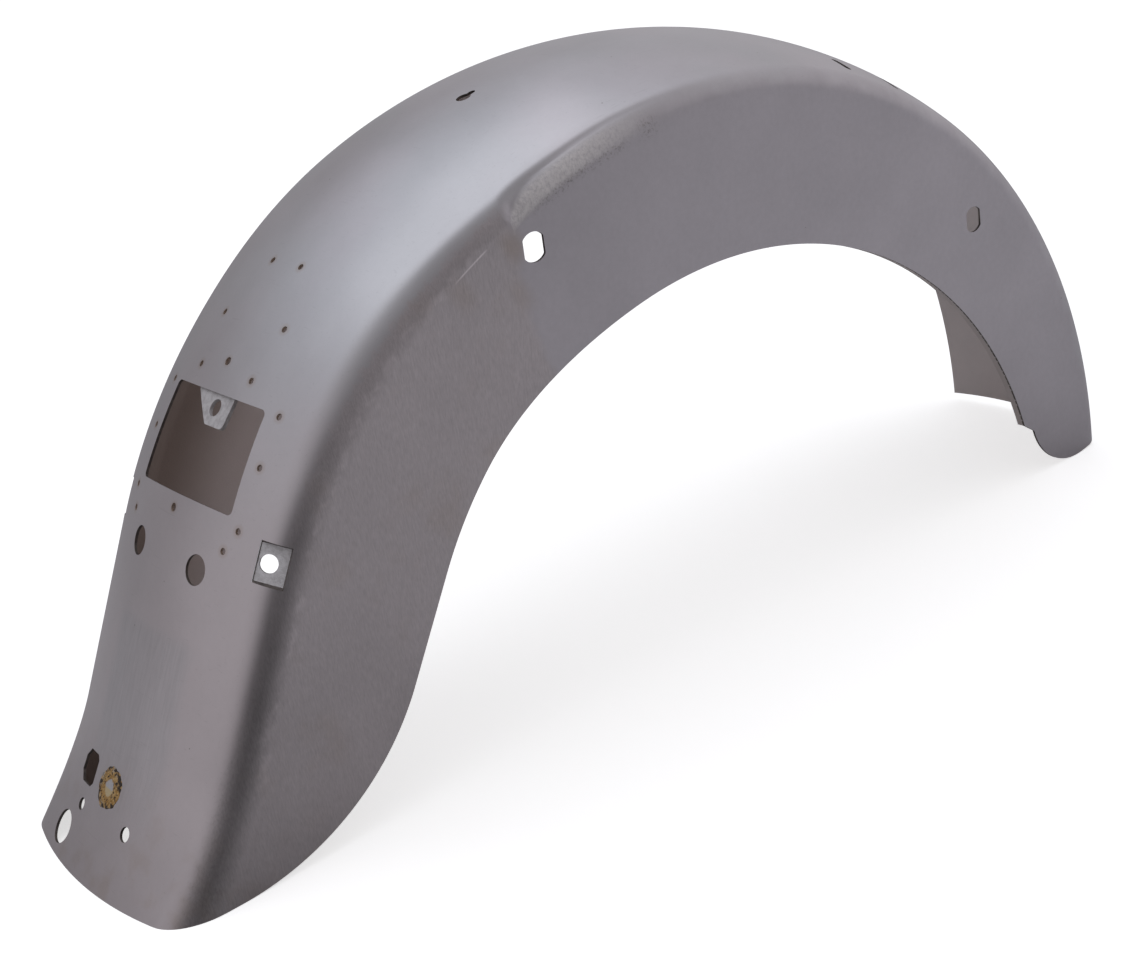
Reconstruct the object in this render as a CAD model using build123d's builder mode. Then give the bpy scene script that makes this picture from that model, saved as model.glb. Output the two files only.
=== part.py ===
from build123d import *
import os
from math import asin, cos, degrees, radians, sin, sqrt, tan

# Rear fender of a motorcycle: one raw steel pressing with a welded lamp tab and a brazed plug.
# +X points forward, +Y to the left, +Z up. The fender stands on its tail and on its right
# front tip, which lie on Z = 0. The origin is below the middle of the overall length.

os.makedirs("parts", exist_ok=True)

# Sheet, and how far a cut reaches to either side of it
sheet = 1.5
cut_reach = 10.0

# Crown seen from the side: a circular run, a straight run and a tail that flicks out backwards
crown_radius = 349.0
crown_x = 26.1
crown_z = -2.8
crown_end_angle = 152.9
crown_straight = 100.0
flick_radius = 350.0
flick_run = 110.0
crown_front_angle = -6.0

# Crown across: a low arc that rolls over the shoulders into flat sides and is flatter at the tail
crown_camber_radius = 222.0
tail_camber_radius = 400.0
tail_steps = 4
shoulder_radius_front = 14.0
shoulder_radius_rear = 24.0
half_width_front = 96.5
half_width_rear = 87.6
taper_start = 88.0
taper_length = 183.0
taper_steps = 6
side_depth = 160.0

# Lower edge of the sides: wheel arch, falling curve, straight, then a round lobe to the floor
arch_radius = 264.2
arch_x = 24.9
arch_front_angle = 16.7
arch_rear_angle = 102.2
fall_radius = 223.7
fall_turn = 46.5
fall_straight = 60.9
lobe_radius = 141.5
tip_radius = 45.0
tip_x = 330.9
tip_start_angle = 195.0
tip_rise = 9.0

# Lip turned inward along the wheel arch
lip_width = 5.0

# Left front corner, cut away for the drive
notch_y = 42.0
notch_top = 165.0
notch_radius = 12.0

# Strut bolt slots in the sides: a round hole with two flats
strut_slot_length = 15.9
strut_slot_width = 12.7
rear_strut_x = -92.8
rear_strut_z = 271.4
front_strut_x = 239.6
front_strut_z = 192.8

# Window in the crown. Distances run along the crown, rearward from its highest point
window_width = 92.0
window_foot_width = 95.0
window_top = 299.5
window_bottom = 354.4
window_corner = 3.0

# Trim holes round the window: (half spacing, distance)
trim_hole = 3.6
trim_rows = [
    (14.2, 223.1),
    (31.0, 257.3),
    (26.5, 287.8),
    (55.5, 299.5),
    (56.0, 326.8),
    (55.0, 360.5),
    (48.3, 372.6),
]
centre_hole = 4.6
centre_rows = [282.3, 362.0]

# Two wiring holes below the window
wiring_hole = 15.9
wiring_spacing = 62.4
wiring_distance = 387.0

# Flat pads pressed into the shoulders, each with a hole nearer its inner edge
pad_inner = 70.2
pad_width = 17.0
pad_length = 21.4
pad_slope = 45.0
pad_sink = 0.8
pad_distance = 371.0
pad_hole = 9.5
pad_hole_shift = 2.1

# Keyhole near the top, on the right of the centre line
keyhole_large = 8.5
keyhole_small = 4.0
keyhole_pitch = 6.0
keyhole_distance = 88.0
keyhole_y = -7.5

# Cross slots near the shoulders in front of the top
cross_slot_width = 5.0
cross_slot_length = 16.0
cross_slots = [(-142.0, 74.0), (-183.0, 78.0)]

# Tail piercings
tail_slot_width = 18.5
tail_slot_height = 17.7
tail_slot_clip = 2.5
tail_slot_outer_clip = 5.0
tail_slot_y = 32.3
tail_slot_distance = 511.8
screw_hole = 6.6
screw_hole_y = 28.5
screw_hole_distance = 531.1
cable_hole = 18.5
cable_hole_y = 40.7
cable_hole_distance = 548.1
drain_hole = 8.0
drain_hole_y = -22.9
drain_hole_distance = 528.9

# Brazed plug in the tail
plug_bore = 12.0
plug_rim = 25.0
plug_rise = 0.8
plug_y = 3.5
plug_distance = 513.5

# Lamp tab, a plate welded under the crown that hangs into the window
tab_sheet = 2.0
tab_top_width = 37.0
tab_foot_width = 16.5
tab_drop = 17.0
tab_lap = 13.0
weld_gap = 0.05
tab_corner = 3.0
tab_hole = 9.5
tab_hole_drop = 7.4
tab_hole_y = -5.3

# Derived places along the crown
crown_run = radians(crown_end_angle - 90) * crown_radius
straight_end = crown_run + crown_straight
end_out = Vector(cos(radians(crown_end_angle)), 0, sin(radians(crown_end_angle)))
end_along = Vector(-end_out.Z, 0, end_out.X)
crown_centre = Vector(crown_x, 0, crown_z)
flick_start = crown_centre + end_out * crown_radius + end_along * crown_straight
flick_centre = flick_start + end_out * flick_radius

# Derived heights: the lobe just touches the floor
fall_heading = radians(arch_rear_angle + 90)
lobe_heading = fall_heading + radians(fall_turn)
arch_z = -(
    arch_radius * sin(radians(arch_rear_angle))
    + fall_radius * (cos(fall_heading) - cos(lobe_heading))
    + fall_straight * sin(lobe_heading)
    - lobe_radius * (1 + cos(lobe_heading))
)


def station(distance):
    """Point on the crown's centre line, its outward direction and its direction along the crown."""
    if distance <= crown_run:
        angle = radians(90) + distance / crown_radius
    elif distance <= straight_end:
        angle = radians(crown_end_angle)
    else:
        angle = radians(crown_end_angle) - (distance - straight_end) / flick_radius
    out = Vector(cos(angle), 0, sin(angle))
    along = Vector(-out.Z, 0, out.X)
    if distance <= crown_run:
        point = crown_centre + out * crown_radius
    elif distance <= straight_end:
        point = crown_centre + out * crown_radius + along * (distance - crown_run)
    else:
        point = flick_centre - out * flick_radius
    return point, out, along


def ease(distance, start, length):
    """Share from 0 to 1 that starts and ends gently over a length of the crown."""
    share = min(max((distance - start) / length, 0), 1)
    return share**2 * (3 - 2 * share)


def half_width(distance):
    """Half the width at a place along the crown: it eases in behind the struts."""
    loss = half_width_front - half_width_rear
    return half_width_front - loss * ease(distance, taper_start, taper_length)


def roll_radius(distance):
    """Radius of the shoulder roll: it grows where the width eases in."""
    growth = shoulder_radius_rear - shoulder_radius_front
    return shoulder_radius_front + growth * ease(distance, taper_start, taper_length)


def camber_radius(distance):
    """Radius of the crown across: it grows over the flicked tail."""
    growth = tail_camber_radius - crown_camber_radius
    return crown_camber_radius + growth * ease(distance, straight_end, flick_run)


def crown_plane(distance, lateral):
    """Plane that touches the crown: x to the left, y rearward along the crown, z outward."""
    point, out, along = station(distance)
    camber = camber_radius(distance)
    lean = asin(lateral / camber)
    foot = point + out * (camber * (cos(lean) - 1)) + Vector(0, lateral, 0)
    normal = out * cos(lean) + Vector(0, sin(lean), 0)
    across = Vector(0, cos(lean), 0) - out * sin(lean)
    return Plane(origin=foot, x_dir=across, z_dir=normal)


def pad_plane(side):
    """Plane of a shoulder pad's flat floor, with its origin in the middle of the floor."""
    point, out, along = station(pad_distance)
    lean = asin(pad_inner / crown_camber_radius)
    inner = point + out * (crown_camber_radius * (cos(lean) - 1)) + Vector(0, side * pad_inner, 0)
    slope = radians(pad_slope)
    across = Vector(0, side * cos(slope), 0) - out * sin(slope)
    normal = out * cos(slope) + Vector(0, side * sin(slope), 0)
    middle = inner + across * (pad_width / 2) - normal * pad_sink
    return Plane(origin=middle, x_dir=across, z_dir=normal)


def cross_section(distance, inset):
    """Crown arc, rolled shoulders and flat sides at a place along the crown."""
    point, out, along = station(distance)
    reach = half_width(distance) - inset
    camber = camber_radius(distance)
    drop = camber - sqrt((camber - inset) ** 2 - reach**2)
    floor = side_depth + inset
    with BuildSketch(Plane(origin=point, x_dir=out, z_dir=along)) as section:
        with BuildLine():
            ThreePointArc((-drop, -reach), (-inset, 0), (-drop, reach))
            Polyline((-drop, reach), (-floor, reach), (-floor, -reach), (-drop, -reach))
        make_face()
        fillet(section.vertices().sort_by(Axis.X)[-2:], roll_radius(distance) - inset)
    return section.sketch


def form(inset):
    """Solid block inside the sheet's outer face, drawn in by the inset on every wall."""
    crown_axis = Axis(crown_centre, (0, -1, 0))
    crown_start = radians(crown_front_angle - 90) * crown_radius
    taper_end = taper_start + taper_length
    taper_places = [taper_start + taper_length * i / taper_steps for i in range(taper_steps + 1)]
    flick_places = [straight_end + flick_run * i / tail_steps for i in range(tail_steps + 1)]
    with BuildPart() as block:
        revolve(
            cross_section(crown_start, inset),
            axis=crown_axis,
            revolution_arc=degrees((taper_start - crown_start) / crown_radius),
        )
        loft([cross_section(place, inset) for place in taper_places])
        revolve(
            cross_section(taper_end, inset),
            axis=crown_axis,
            revolution_arc=degrees((crown_run - taper_end) / crown_radius),
        )
        extrude(cross_section(crown_run, inset), amount=crown_straight)
        loft([cross_section(place, inset) for place in flick_places])
        for side in (-1, 1):
            with BuildSketch(pad_plane(side).offset(-inset)):
                Rectangle(pad_width + 2 * inset, pad_length + 2 * inset)
            extrude(amount=cut_reach, mode=Mode.SUBTRACT)
    return block.part


def pierce(distance, lateral, diameter):
    """Round hole through the crown."""
    with BuildSketch(crown_plane(distance, lateral)) as hole:
        Circle(diameter / 2)
    extrude(hole.sketch, amount=cut_reach, both=True, mode=Mode.SUBTRACT)


outer_form = form(0)
inner_form = form(sheet)

with BuildPart() as fender_shell:
    add(outer_form)
    add(inner_form, mode=Mode.SUBTRACT)
    # Side view: everything above the lower edge is kept
    with BuildSketch(Plane.XZ):
        with BuildLine():
            high = 2 * crown_radius
            tip_end = radians(270 + tip_rise)
            front_end = Vector(tip_x + tip_radius * cos(tip_end), tip_radius * (1 + sin(tip_end)))
            nose_x = crown_x + crown_radius + cut_reach
            nose_z = front_end.Y + (nose_x - front_end.X) * tan(radians(tip_rise))
            arch = CenterArc(
                (arch_x, arch_z),
                arch_radius,
                arch_front_angle,
                arch_rear_angle - arch_front_angle,
            )
            fall = JernArc(arch @ 1, arch % 1, fall_radius, fall_turn)
            chute = Line(fall @ 1, fall @ 1 + (fall % 1) * fall_straight)
            lobe_turn = arch_rear_angle + fall_turn - 90
            lobe = JernArc(chute @ 1, chute % 1, lobe_radius, -lobe_turn)
            tail_x = crown_x - 2 * crown_radius
            tip = CenterArc(
                (tip_x, tip_radius),
                tip_radius,
                tip_start_angle,
                270 + tip_rise - tip_start_angle,
            )
            Line(arch @ 0, tip @ 0)
            Polyline(tip @ 1, (nose_x, nose_z), (nose_x, high), (tail_x, high), (tail_x, 0), lobe @ 1)
        make_face()
    extrude(amount=2 * half_width_front, both=True, mode=Mode.INTERSECT)
    # Lip along the wheel arch, on both sides
    for side in (-1, 1):
        lip_y = side * (half_width_front - sheet / 2 - lip_width / 2)
        lip_start = radians(arch_front_angle)
        lip_out = Vector(cos(lip_start), 0, sin(lip_start))
        hub = Vector(arch_x, 0, arch_z)
        with BuildSketch(Plane(origin=hub, x_dir=lip_out, z_dir=(-lip_out.Z, 0, lip_out.X))):
            with Locations((arch_radius + sheet / 2, lip_y)):
                Rectangle(sheet, lip_width)
        revolve(axis=Axis(hub, (0, -1, 0)), revolution_arc=arch_rear_angle - arch_front_angle)
    # Left front corner cut away
    with BuildSketch(Plane.YZ.offset(arch_x)):
        with Locations((notch_y + half_width_front / 2, notch_top - crown_radius / 2)):
            RectangleRounded(half_width_front, crown_radius, notch_radius)
    extrude(amount=2 * crown_radius, mode=Mode.SUBTRACT)
    # Strut slots through both sides
    for slot_x, slot_z in ((rear_strut_x, rear_strut_z), (front_strut_x, front_strut_z)):
        with BuildSketch(Plane.XZ):
            with Locations((slot_x, slot_z)):
                Circle(strut_slot_length / 2)
                Rectangle(strut_slot_width, strut_slot_length, mode=Mode.INTERSECT)
        extrude(amount=2 * half_width_front, both=True, mode=Mode.SUBTRACT)
    # Window
    half_height = (window_bottom - window_top) / 2
    with BuildSketch(crown_plane((window_top + window_bottom) / 2, 0)) as window:
        with BuildLine():
            Polyline(
                (-window_width / 2, -half_height),
                (window_width / 2, -half_height),
                (window_foot_width / 2, half_height),
                (-window_foot_width / 2, half_height),
                close=True,
            )
        make_face()
        fillet(window.vertices(), window_corner)
    extrude(amount=2 * cut_reach, both=True, mode=Mode.SUBTRACT)
    # Holes in the crown
    for lateral, distance in trim_rows:
        pierce(distance, lateral, trim_hole)
        pierce(distance, -lateral, trim_hole)
    for distance in centre_rows:
        pierce(distance, 0, centre_hole)
    pierce(wiring_distance, wiring_spacing / 2, wiring_hole)
    pierce(wiring_distance, -wiring_spacing / 2, wiring_hole)
    for side in (-1, 1):
        with BuildSketch(pad_plane(side)):
            with Locations((-pad_hole_shift, 0)):
                Circle(pad_hole / 2)
        extrude(amount=cut_reach, both=True, mode=Mode.SUBTRACT)
    with BuildSketch(crown_plane(keyhole_distance, keyhole_y)):
        Circle(keyhole_large / 2)
        with Locations((0, -keyhole_pitch / 2)):
            Rectangle(keyhole_small, keyhole_pitch)
        with Locations((0, -keyhole_pitch)):
            Circle(keyhole_small / 2)
    extrude(amount=cut_reach, both=True, mode=Mode.SUBTRACT)
    for distance, lateral in cross_slots:
        for side in (-1, 1):
            with BuildSketch(crown_plane(distance, side * lateral)):
                SlotOverall(cross_slot_length, cross_slot_width)
            extrude(amount=cut_reach, both=True, mode=Mode.SUBTRACT)
    # Tail piercings
    with BuildSketch(crown_plane(tail_slot_distance, tail_slot_y)) as tail_slot:
        Rectangle(tail_slot_width, tail_slot_height)
        chamfer(tail_slot.vertices().group_by(Axis.Y)[-1], tail_slot_outer_clip)
        chamfer(tail_slot.vertices().group_by(Axis.Y)[0], tail_slot_clip)
    extrude(amount=cut_reach, both=True, mode=Mode.SUBTRACT)
    pierce(screw_hole_distance, screw_hole_y, screw_hole)
    pierce(cable_hole_distance, cable_hole_y, cable_hole)
    pierce(drain_hole_distance, drain_hole_y, drain_hole)
    pierce(plug_distance, plug_y, plug_bore)
fender_shell.part.label = "fender_shell"
export_step(fender_shell.part, "parts/fender_shell.step")

# The tab is a straight plate, cambered like the crown, that laps under the edge of the window
with BuildPart() as lamp_tab:
    lap_top, top_out, _ = station(window_top - tab_lap)
    lap_edge, edge_out, _ = station(window_top)
    seat = sheet + weld_gap
    seat_start = lap_top - top_out * seat
    seat_run = lap_edge - edge_out * seat - seat_start
    seat_radius = crown_camber_radius - seat
    with BuildSketch(Plane(origin=seat_start, x_dir=(seat_run.Z, 0, -seat_run.X), z_dir=seat_run)):
        with Locations((-seat_radius, 0)):
            Circle(seat_radius)
            Circle(seat_radius - tab_sheet, mode=Mode.SUBTRACT)
        Rectangle(seat_radius, tab_top_width, mode=Mode.INTERSECT)
    extrude(amount=tab_lap + tab_drop)
    half_top = tab_top_width / 2
    with BuildSketch(crown_plane(window_top, 0)) as tab_cut:
        with BuildLine():
            Polyline(
                (-half_top, -2 * tab_lap),
                (half_top, -2 * tab_lap),
                (half_top, 0),
                (tab_foot_width - half_top, tab_drop),
                (-half_top, tab_drop),
                close=True,
            )
        make_face()
        fillet(tab_cut.vertices().group_by(Axis.Z)[0], tab_corner)
        with Locations((tab_hole_y, tab_hole_drop)):
            Circle(tab_hole / 2, mode=Mode.SUBTRACT)
    extrude(amount=cut_reach, both=True, mode=Mode.INTERSECT)
lamp_tab.part.label = "lamp_tab"
export_step(lamp_tab.part, "parts/lamp_tab.step")

# The plug fills its bore and spreads over the sheet as a thin cap of braze
with BuildPart() as braze_plug:
    with BuildSketch(crown_plane(plug_distance, plug_y)):
        Circle(plug_rim / 2)
    extrude(amount=plug_rise)
    with BuildSketch(crown_plane(plug_distance, plug_y)):
        Circle(plug_rim / 2)
    extrude(amount=-sheet)
    add(outer_form, mode=Mode.SUBTRACT)
    with BuildSketch(crown_plane(plug_distance, plug_y).offset(-sheet)):
        Circle(plug_bore / 2)
    extrude(amount=sheet + plug_rise)
braze_plug.part.label = "braze_plug"
export_step(braze_plug.part, "parts/braze_plug.step")
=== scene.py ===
"""Dressed view of a raw steel motorcycle rear fender.

The pressed shell is worked out as a surface over the crown's length and its cross-section,
pierced, and finished as bare sheet steel: smooth on the crown, sanded on the rear sides.
Sizes are in millimetres, and meshes are written in metres.
"""

import logging
import math
from dataclasses import dataclass, field
from enum import Enum

import bpy
import numpy as np
from mathutils import Matrix


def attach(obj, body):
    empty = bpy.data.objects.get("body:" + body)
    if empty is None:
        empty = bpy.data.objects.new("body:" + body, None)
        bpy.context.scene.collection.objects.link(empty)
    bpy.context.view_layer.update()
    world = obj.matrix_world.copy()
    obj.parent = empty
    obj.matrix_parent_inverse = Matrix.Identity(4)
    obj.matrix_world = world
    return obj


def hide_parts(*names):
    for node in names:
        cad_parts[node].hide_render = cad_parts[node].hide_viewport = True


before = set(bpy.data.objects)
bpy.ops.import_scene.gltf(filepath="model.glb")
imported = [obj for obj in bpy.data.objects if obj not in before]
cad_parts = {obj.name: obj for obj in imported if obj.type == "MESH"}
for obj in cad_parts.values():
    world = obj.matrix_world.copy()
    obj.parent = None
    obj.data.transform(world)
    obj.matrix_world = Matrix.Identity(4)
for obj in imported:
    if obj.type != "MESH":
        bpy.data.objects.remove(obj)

LOG = logging.getLogger("fender")
MM = 0.001
ROOT = "root"
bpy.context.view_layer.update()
Socket = bpy.types.NodeSocket
Value = Socket | float
Tone = Socket | tuple


class Side(Enum):
    """The two sides of the machine, with the sign of Y."""

    RIGHT = -1
    LEFT = 1


class Skin(Enum):
    """Which face of the sheet a polygon belongs to; the value is its material slot."""

    OUTER = 0
    INNER = 1
    EDGE = 2
    PAD = 3


def smooth(share: np.ndarray) -> np.ndarray:
    """Ease from 0 to 1: the share is clamped, then follows 3 s^2 - 2 s^3.

    Args:
        share: Values where 0 is the start of the ease and 1 its end.

    Returns:
        Eased values between 0 and 1.
    """
    held = np.clip(share, 0.0, 1.0)
    return held * held * (3.0 - 2.0 * held)


@dataclass
class Crown:
    """Side view of the crown: a circular run, a straight run and a tail that flicks out.

    Distances run along the crown, rearward from its highest point.
    """

    radius: float = 349.0
    centre_x: float = 26.1
    centre_z: float = -2.8
    end_angle: float = 152.9
    straight: float = 100.0
    flick_radius: float = 350.0
    flick_run: float = 110.0
    front_angle: float = -6.0

    def __post_init__(self) -> None:
        """Work out the places where the runs meet."""
        turn = math.radians(self.end_angle)
        self.start = math.radians(self.front_angle - 90.0) * self.radius
        self.run = (turn - math.pi / 2) * self.radius
        self.straight_end = self.run + self.straight
        self.end = self.straight_end + self.flick_run
        self.centre = np.array([self.centre_x, self.centre_z])
        self.end_out = np.array([math.cos(turn), math.sin(turn)])
        self.end_along = np.array([-self.end_out[1], self.end_out[0]])
        self.straight_from = self.centre + self.radius * self.end_out
        self.flick_from = self.straight_from + self.straight * self.end_along
        self.flick_centre = self.flick_from + self.flick_radius * self.end_out

    def station(self, distance: np.ndarray) -> tuple[np.ndarray, np.ndarray, np.ndarray]:
        """Point, outward direction and direction along the crown at given distances.

        The outward direction turns by distance over radius on the circular run, holds on the
        straight run and turns back on the flick.

        Args:
            distance: Distances along the crown.

        Returns:
            Points, outward and rearward unit directions, as (x, z) pairs in the last axis.
        """
        d = np.asarray(distance, float)
        turn = math.radians(self.end_angle)
        angle = np.minimum(math.pi / 2 + d / self.radius, turn)
        angle = angle - np.maximum(d - self.straight_end, 0.0) / self.flick_radius
        out = np.stack([np.cos(angle), np.sin(angle)], -1)
        along = np.stack([-out[..., 1], out[..., 0]], -1)
        slide = np.clip(d - self.run, 0.0, self.straight)[..., None]
        near = self.centre + self.radius * out + slide * self.end_along
        far = self.flick_centre - self.flick_radius * out
        return np.where((d > self.straight_end)[..., None], far, near), out, along

    def locate(self, x: np.ndarray, z: np.ndarray) -> tuple[np.ndarray, np.ndarray]:
        """Distance along the crown and height over it of points in the side view.

        Args:
            x: Forward coordinates.
            z: Upward coordinates.

        Returns:
            Distances along the crown and heights above the crown's centre line.
        """
        angle = np.arctan2(z - self.centre_z, x - self.centre_x)
        angle = np.where(angle < -math.pi / 2, angle + 2 * math.pi, angle)
        from_x, from_z = x - self.straight_from[0], z - self.straight_from[1]
        slide = from_x * self.end_along[0] + from_z * self.end_along[1]
        rise = from_x * self.end_out[0] + from_z * self.end_out[1]
        flick_x, flick_z = x - self.flick_centre[0], z - self.flick_centre[1]
        flick_turn = math.radians(self.end_angle) - np.arctan2(-flick_z, -flick_x)
        on_arc, on_straight = slide < 0, slide < self.straight
        tail = self.straight_end + flick_turn * self.flick_radius
        distance = np.where(on_straight, self.run + slide, tail)
        distance = np.where(on_arc, (angle - math.pi / 2) * self.radius, distance)
        height = np.where(on_straight, rise, self.flick_radius - np.hypot(flick_x, flick_z))
        height = np.where(on_arc, np.hypot(x - self.centre_x, z - self.centre_z) - self.radius, height)
        return distance, height


@dataclass
class Ledge:
    """Dent pressed along each shoulder above the strut, with the side panel proud below it.

    The crease runs along the shoulder at a girth measured from the crown's centre line.
    """

    depth: float = 2.0
    front: float = -45.0
    front_full: float = 60.0
    fade_full: float = 140.0
    rear: float = 150.0
    rear_round: float = 30.0
    crease_girth: float = 94.5
    crease_front_drop: float = 8.0
    foot_girth: float = 110.0
    run_in: float = 11.0
    crease_soft: float = 0.2
    rear_close: float = 9.0

    def crease(self, distance: np.ndarray) -> np.ndarray:
        """Girth of the crease: level, dropping slowly forward and as a quarter ellipse rearward.

        Args:
            distance: Distances along the crown.

        Returns:
            Girths from the crown's centre line.
        """
        ahead = np.clip((self.front_full - distance) / (self.front_full - self.front), 0.0, 1.0)
        behind = np.clip((distance - self.rear + self.rear_round) / self.rear_round, 0.0, 1.0)
        fall = self.foot_girth - self.crease_girth
        quarter = 1.0 - np.sqrt(1.0 - behind**2)
        return self.crease_girth + self.crease_front_drop * ahead**1.5 + fall * quarter

    def bevel(self, distance: np.ndarray, girth: np.ndarray) -> np.ndarray:
        """Place on the bevel: 0 at the crease, 1 at the foot, and -1 where there is no ledge.

        Args:
            distance: Distances along the crown.
            girth: Distances across, round the section from the crown's centre line.

        Returns:
            Places between -1 and 2.
        """
        crease = self.crease(distance)
        place = np.clip((girth - crease) / np.maximum(self.foot_girth - crease, 1.0), -1.0, 2.0)
        return np.where((distance > self.front) & (distance < self.rear + 1.0), place, -1.0)

    def dent(self, distance: np.ndarray, girth: np.ndarray) -> np.ndarray:
        """Depth of the dent at places on the shell.

        Above the crease the dent deepens with the square of the run-in, below it the bevel
        rises in a straight line to its foot, and a soft minimum rounds the crease between them.

        Args:
            distance: Distances along the crown.
            girth: Distances across, round the section from the crown's centre line.

        Returns:
            Inward depths in millimetres.
        """
        crease = self.crease(distance)
        into = np.clip((girth - crease + self.run_in) / self.run_in, 0.0, 3.0) ** 2
        rise = (self.foot_girth - girth) / np.maximum(self.foot_girth - crease, 1.0)
        rise = np.clip(rise, 0.0, 3.0)
        soft = self.crease_soft
        least = 0.5 * (into + rise - np.sqrt((into - rise) ** 2 + soft * soft) + soft)
        least = np.clip(least - soft * 0.5, 0.0, 1.0) * (into > 0) * (rise > 0)
        fade = smooth((distance - self.front) / (self.fade_full - self.front))
        close = smooth((self.rear - distance) / self.rear_close)
        return self.depth * fade * close * least


@dataclass
class Section:
    """Cross-section: a low camber that rolls over the shoulders into flat sides."""

    crown: Crown = field(default_factory=Crown)
    camber_front: float = 222.0
    camber_tail: float = 400.0
    shoulder_front: float = 14.0
    shoulder_rear: float = 24.0
    half_front: float = 96.5
    half_rear: float = 87.6
    taper_start: float = 88.0
    taper_length: float = 183.0
    side_depth: float = 160.0

    def bends(self, distance: np.ndarray) -> tuple[np.ndarray, np.ndarray]:
        """Radius of the camber, which grows over the flick, and of the shoulder, which grows rearward.

        Args:
            distance: Distances along the crown.

        Returns:
            Camber radii and shoulder radii.
        """
        tail = smooth((distance - self.crown.straight_end) / self.crown.flick_run)
        rear = smooth((distance - self.taper_start) / self.taper_length)
        camber = self.camber_front + (self.camber_tail - self.camber_front) * tail
        return camber, self.shoulder_front + (self.shoulder_rear - self.shoulder_front) * rear

    def half_width(self, distance: np.ndarray) -> np.ndarray:
        """Half the width along the crown: it eases in behind the struts."""
        share = smooth((distance - self.taper_start) / self.taper_length)
        return self.half_front - (self.half_front - self.half_rear) * share

    def roll(self, distance: np.ndarray) -> tuple[np.ndarray, np.ndarray, np.ndarray]:
        """Centre of the shoulder's roll and the lean of the camber where the roll begins.

        Args:
            distance: Distances along the crown.

        Returns:
            Lateral and upward coordinates of the roll's centre, and the lean in radians.
        """
        camber, shoulder = self.bends(distance)
        across = self.half_width(distance) - shoulder
        reach = camber - shoulder
        return across, np.sqrt(reach**2 - across**2) - camber, np.arcsin(across / reach)

    def profile(self, distance: np.ndarray, place: np.ndarray) -> tuple[np.ndarray, ...]:
        """Half section: place 0 to 1 is the camber, 1 to 2 the roll and 2 to 3 the side.

        The camber is an arc about a point below the crown, the roll an arc about its centre,
        and the side a straight line down.

        Args:
            distance: Distances along the crown.
            place: Places round the section, 0 at the centre line and 3 at the foot of the side.

        Returns:
            Lateral and upward coordinates, the two parts of the outward normal, and the girth.
        """
        centre, height, lean = self.roll(distance)
        camber, shoulder = self.bends(distance)
        on_camber = np.clip(place, 0.0, 1.0) * lean
        on_roll = np.clip(place - 1.0, 0.0, 1.0) * (math.pi / 2 - lean)
        on_side = np.clip(place - 2.0, 0.0, 1.0) * (self.side_depth + height)
        turn = on_camber + on_roll
        sine, cosine = np.sin(turn), np.cos(turn)
        lateral = np.where(place < 1.0, camber * sine, centre + shoulder * sine)
        upward = np.where(place < 1.0, camber * (cosine - 1.0), height + shoulder * cosine - on_side)
        girth = camber * on_camber + shoulder * on_roll + on_side
        return lateral, upward, sine, cosine, girth

    def measure(
        self, distance: np.ndarray, lateral: np.ndarray, upward: np.ndarray
    ) -> tuple[np.ndarray, np.ndarray]:
        """Distance of points from the section's outline, and their girth.

        Args:
            distance: Distances along the crown.
            lateral: Distances from the centre plane, without sign.
            upward: Heights over the crown's centre line.

        Returns:
            Signed distances, positive outside, and girths round the section.
        """
        centre, height, lean = self.roll(distance)
        camber, shoulder = self.bends(distance)
        over, above = lateral - centre, upward - height
        turn = np.arctan2(over, above)
        on_side = (above < 0) & (over > -0.5 * shoulder)
        on_roll = (above >= 0) & (turn > lean)
        camber_lean = np.arctan2(lateral, upward + camber)
        gap = np.hypot(lateral, upward + camber) - camber
        gap = np.where(on_roll, np.hypot(over, above) - shoulder, gap)
        gap = np.where(on_side, lateral - centre - shoulder, gap)
        roll_girth = camber * lean + shoulder * (turn - lean)
        side_girth = camber * lean + shoulder * (math.pi / 2 - lean) - above
        girth = np.where(on_roll, roll_girth, camber * camber_lean)
        return gap, np.where(on_side, side_girth, girth)


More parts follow.
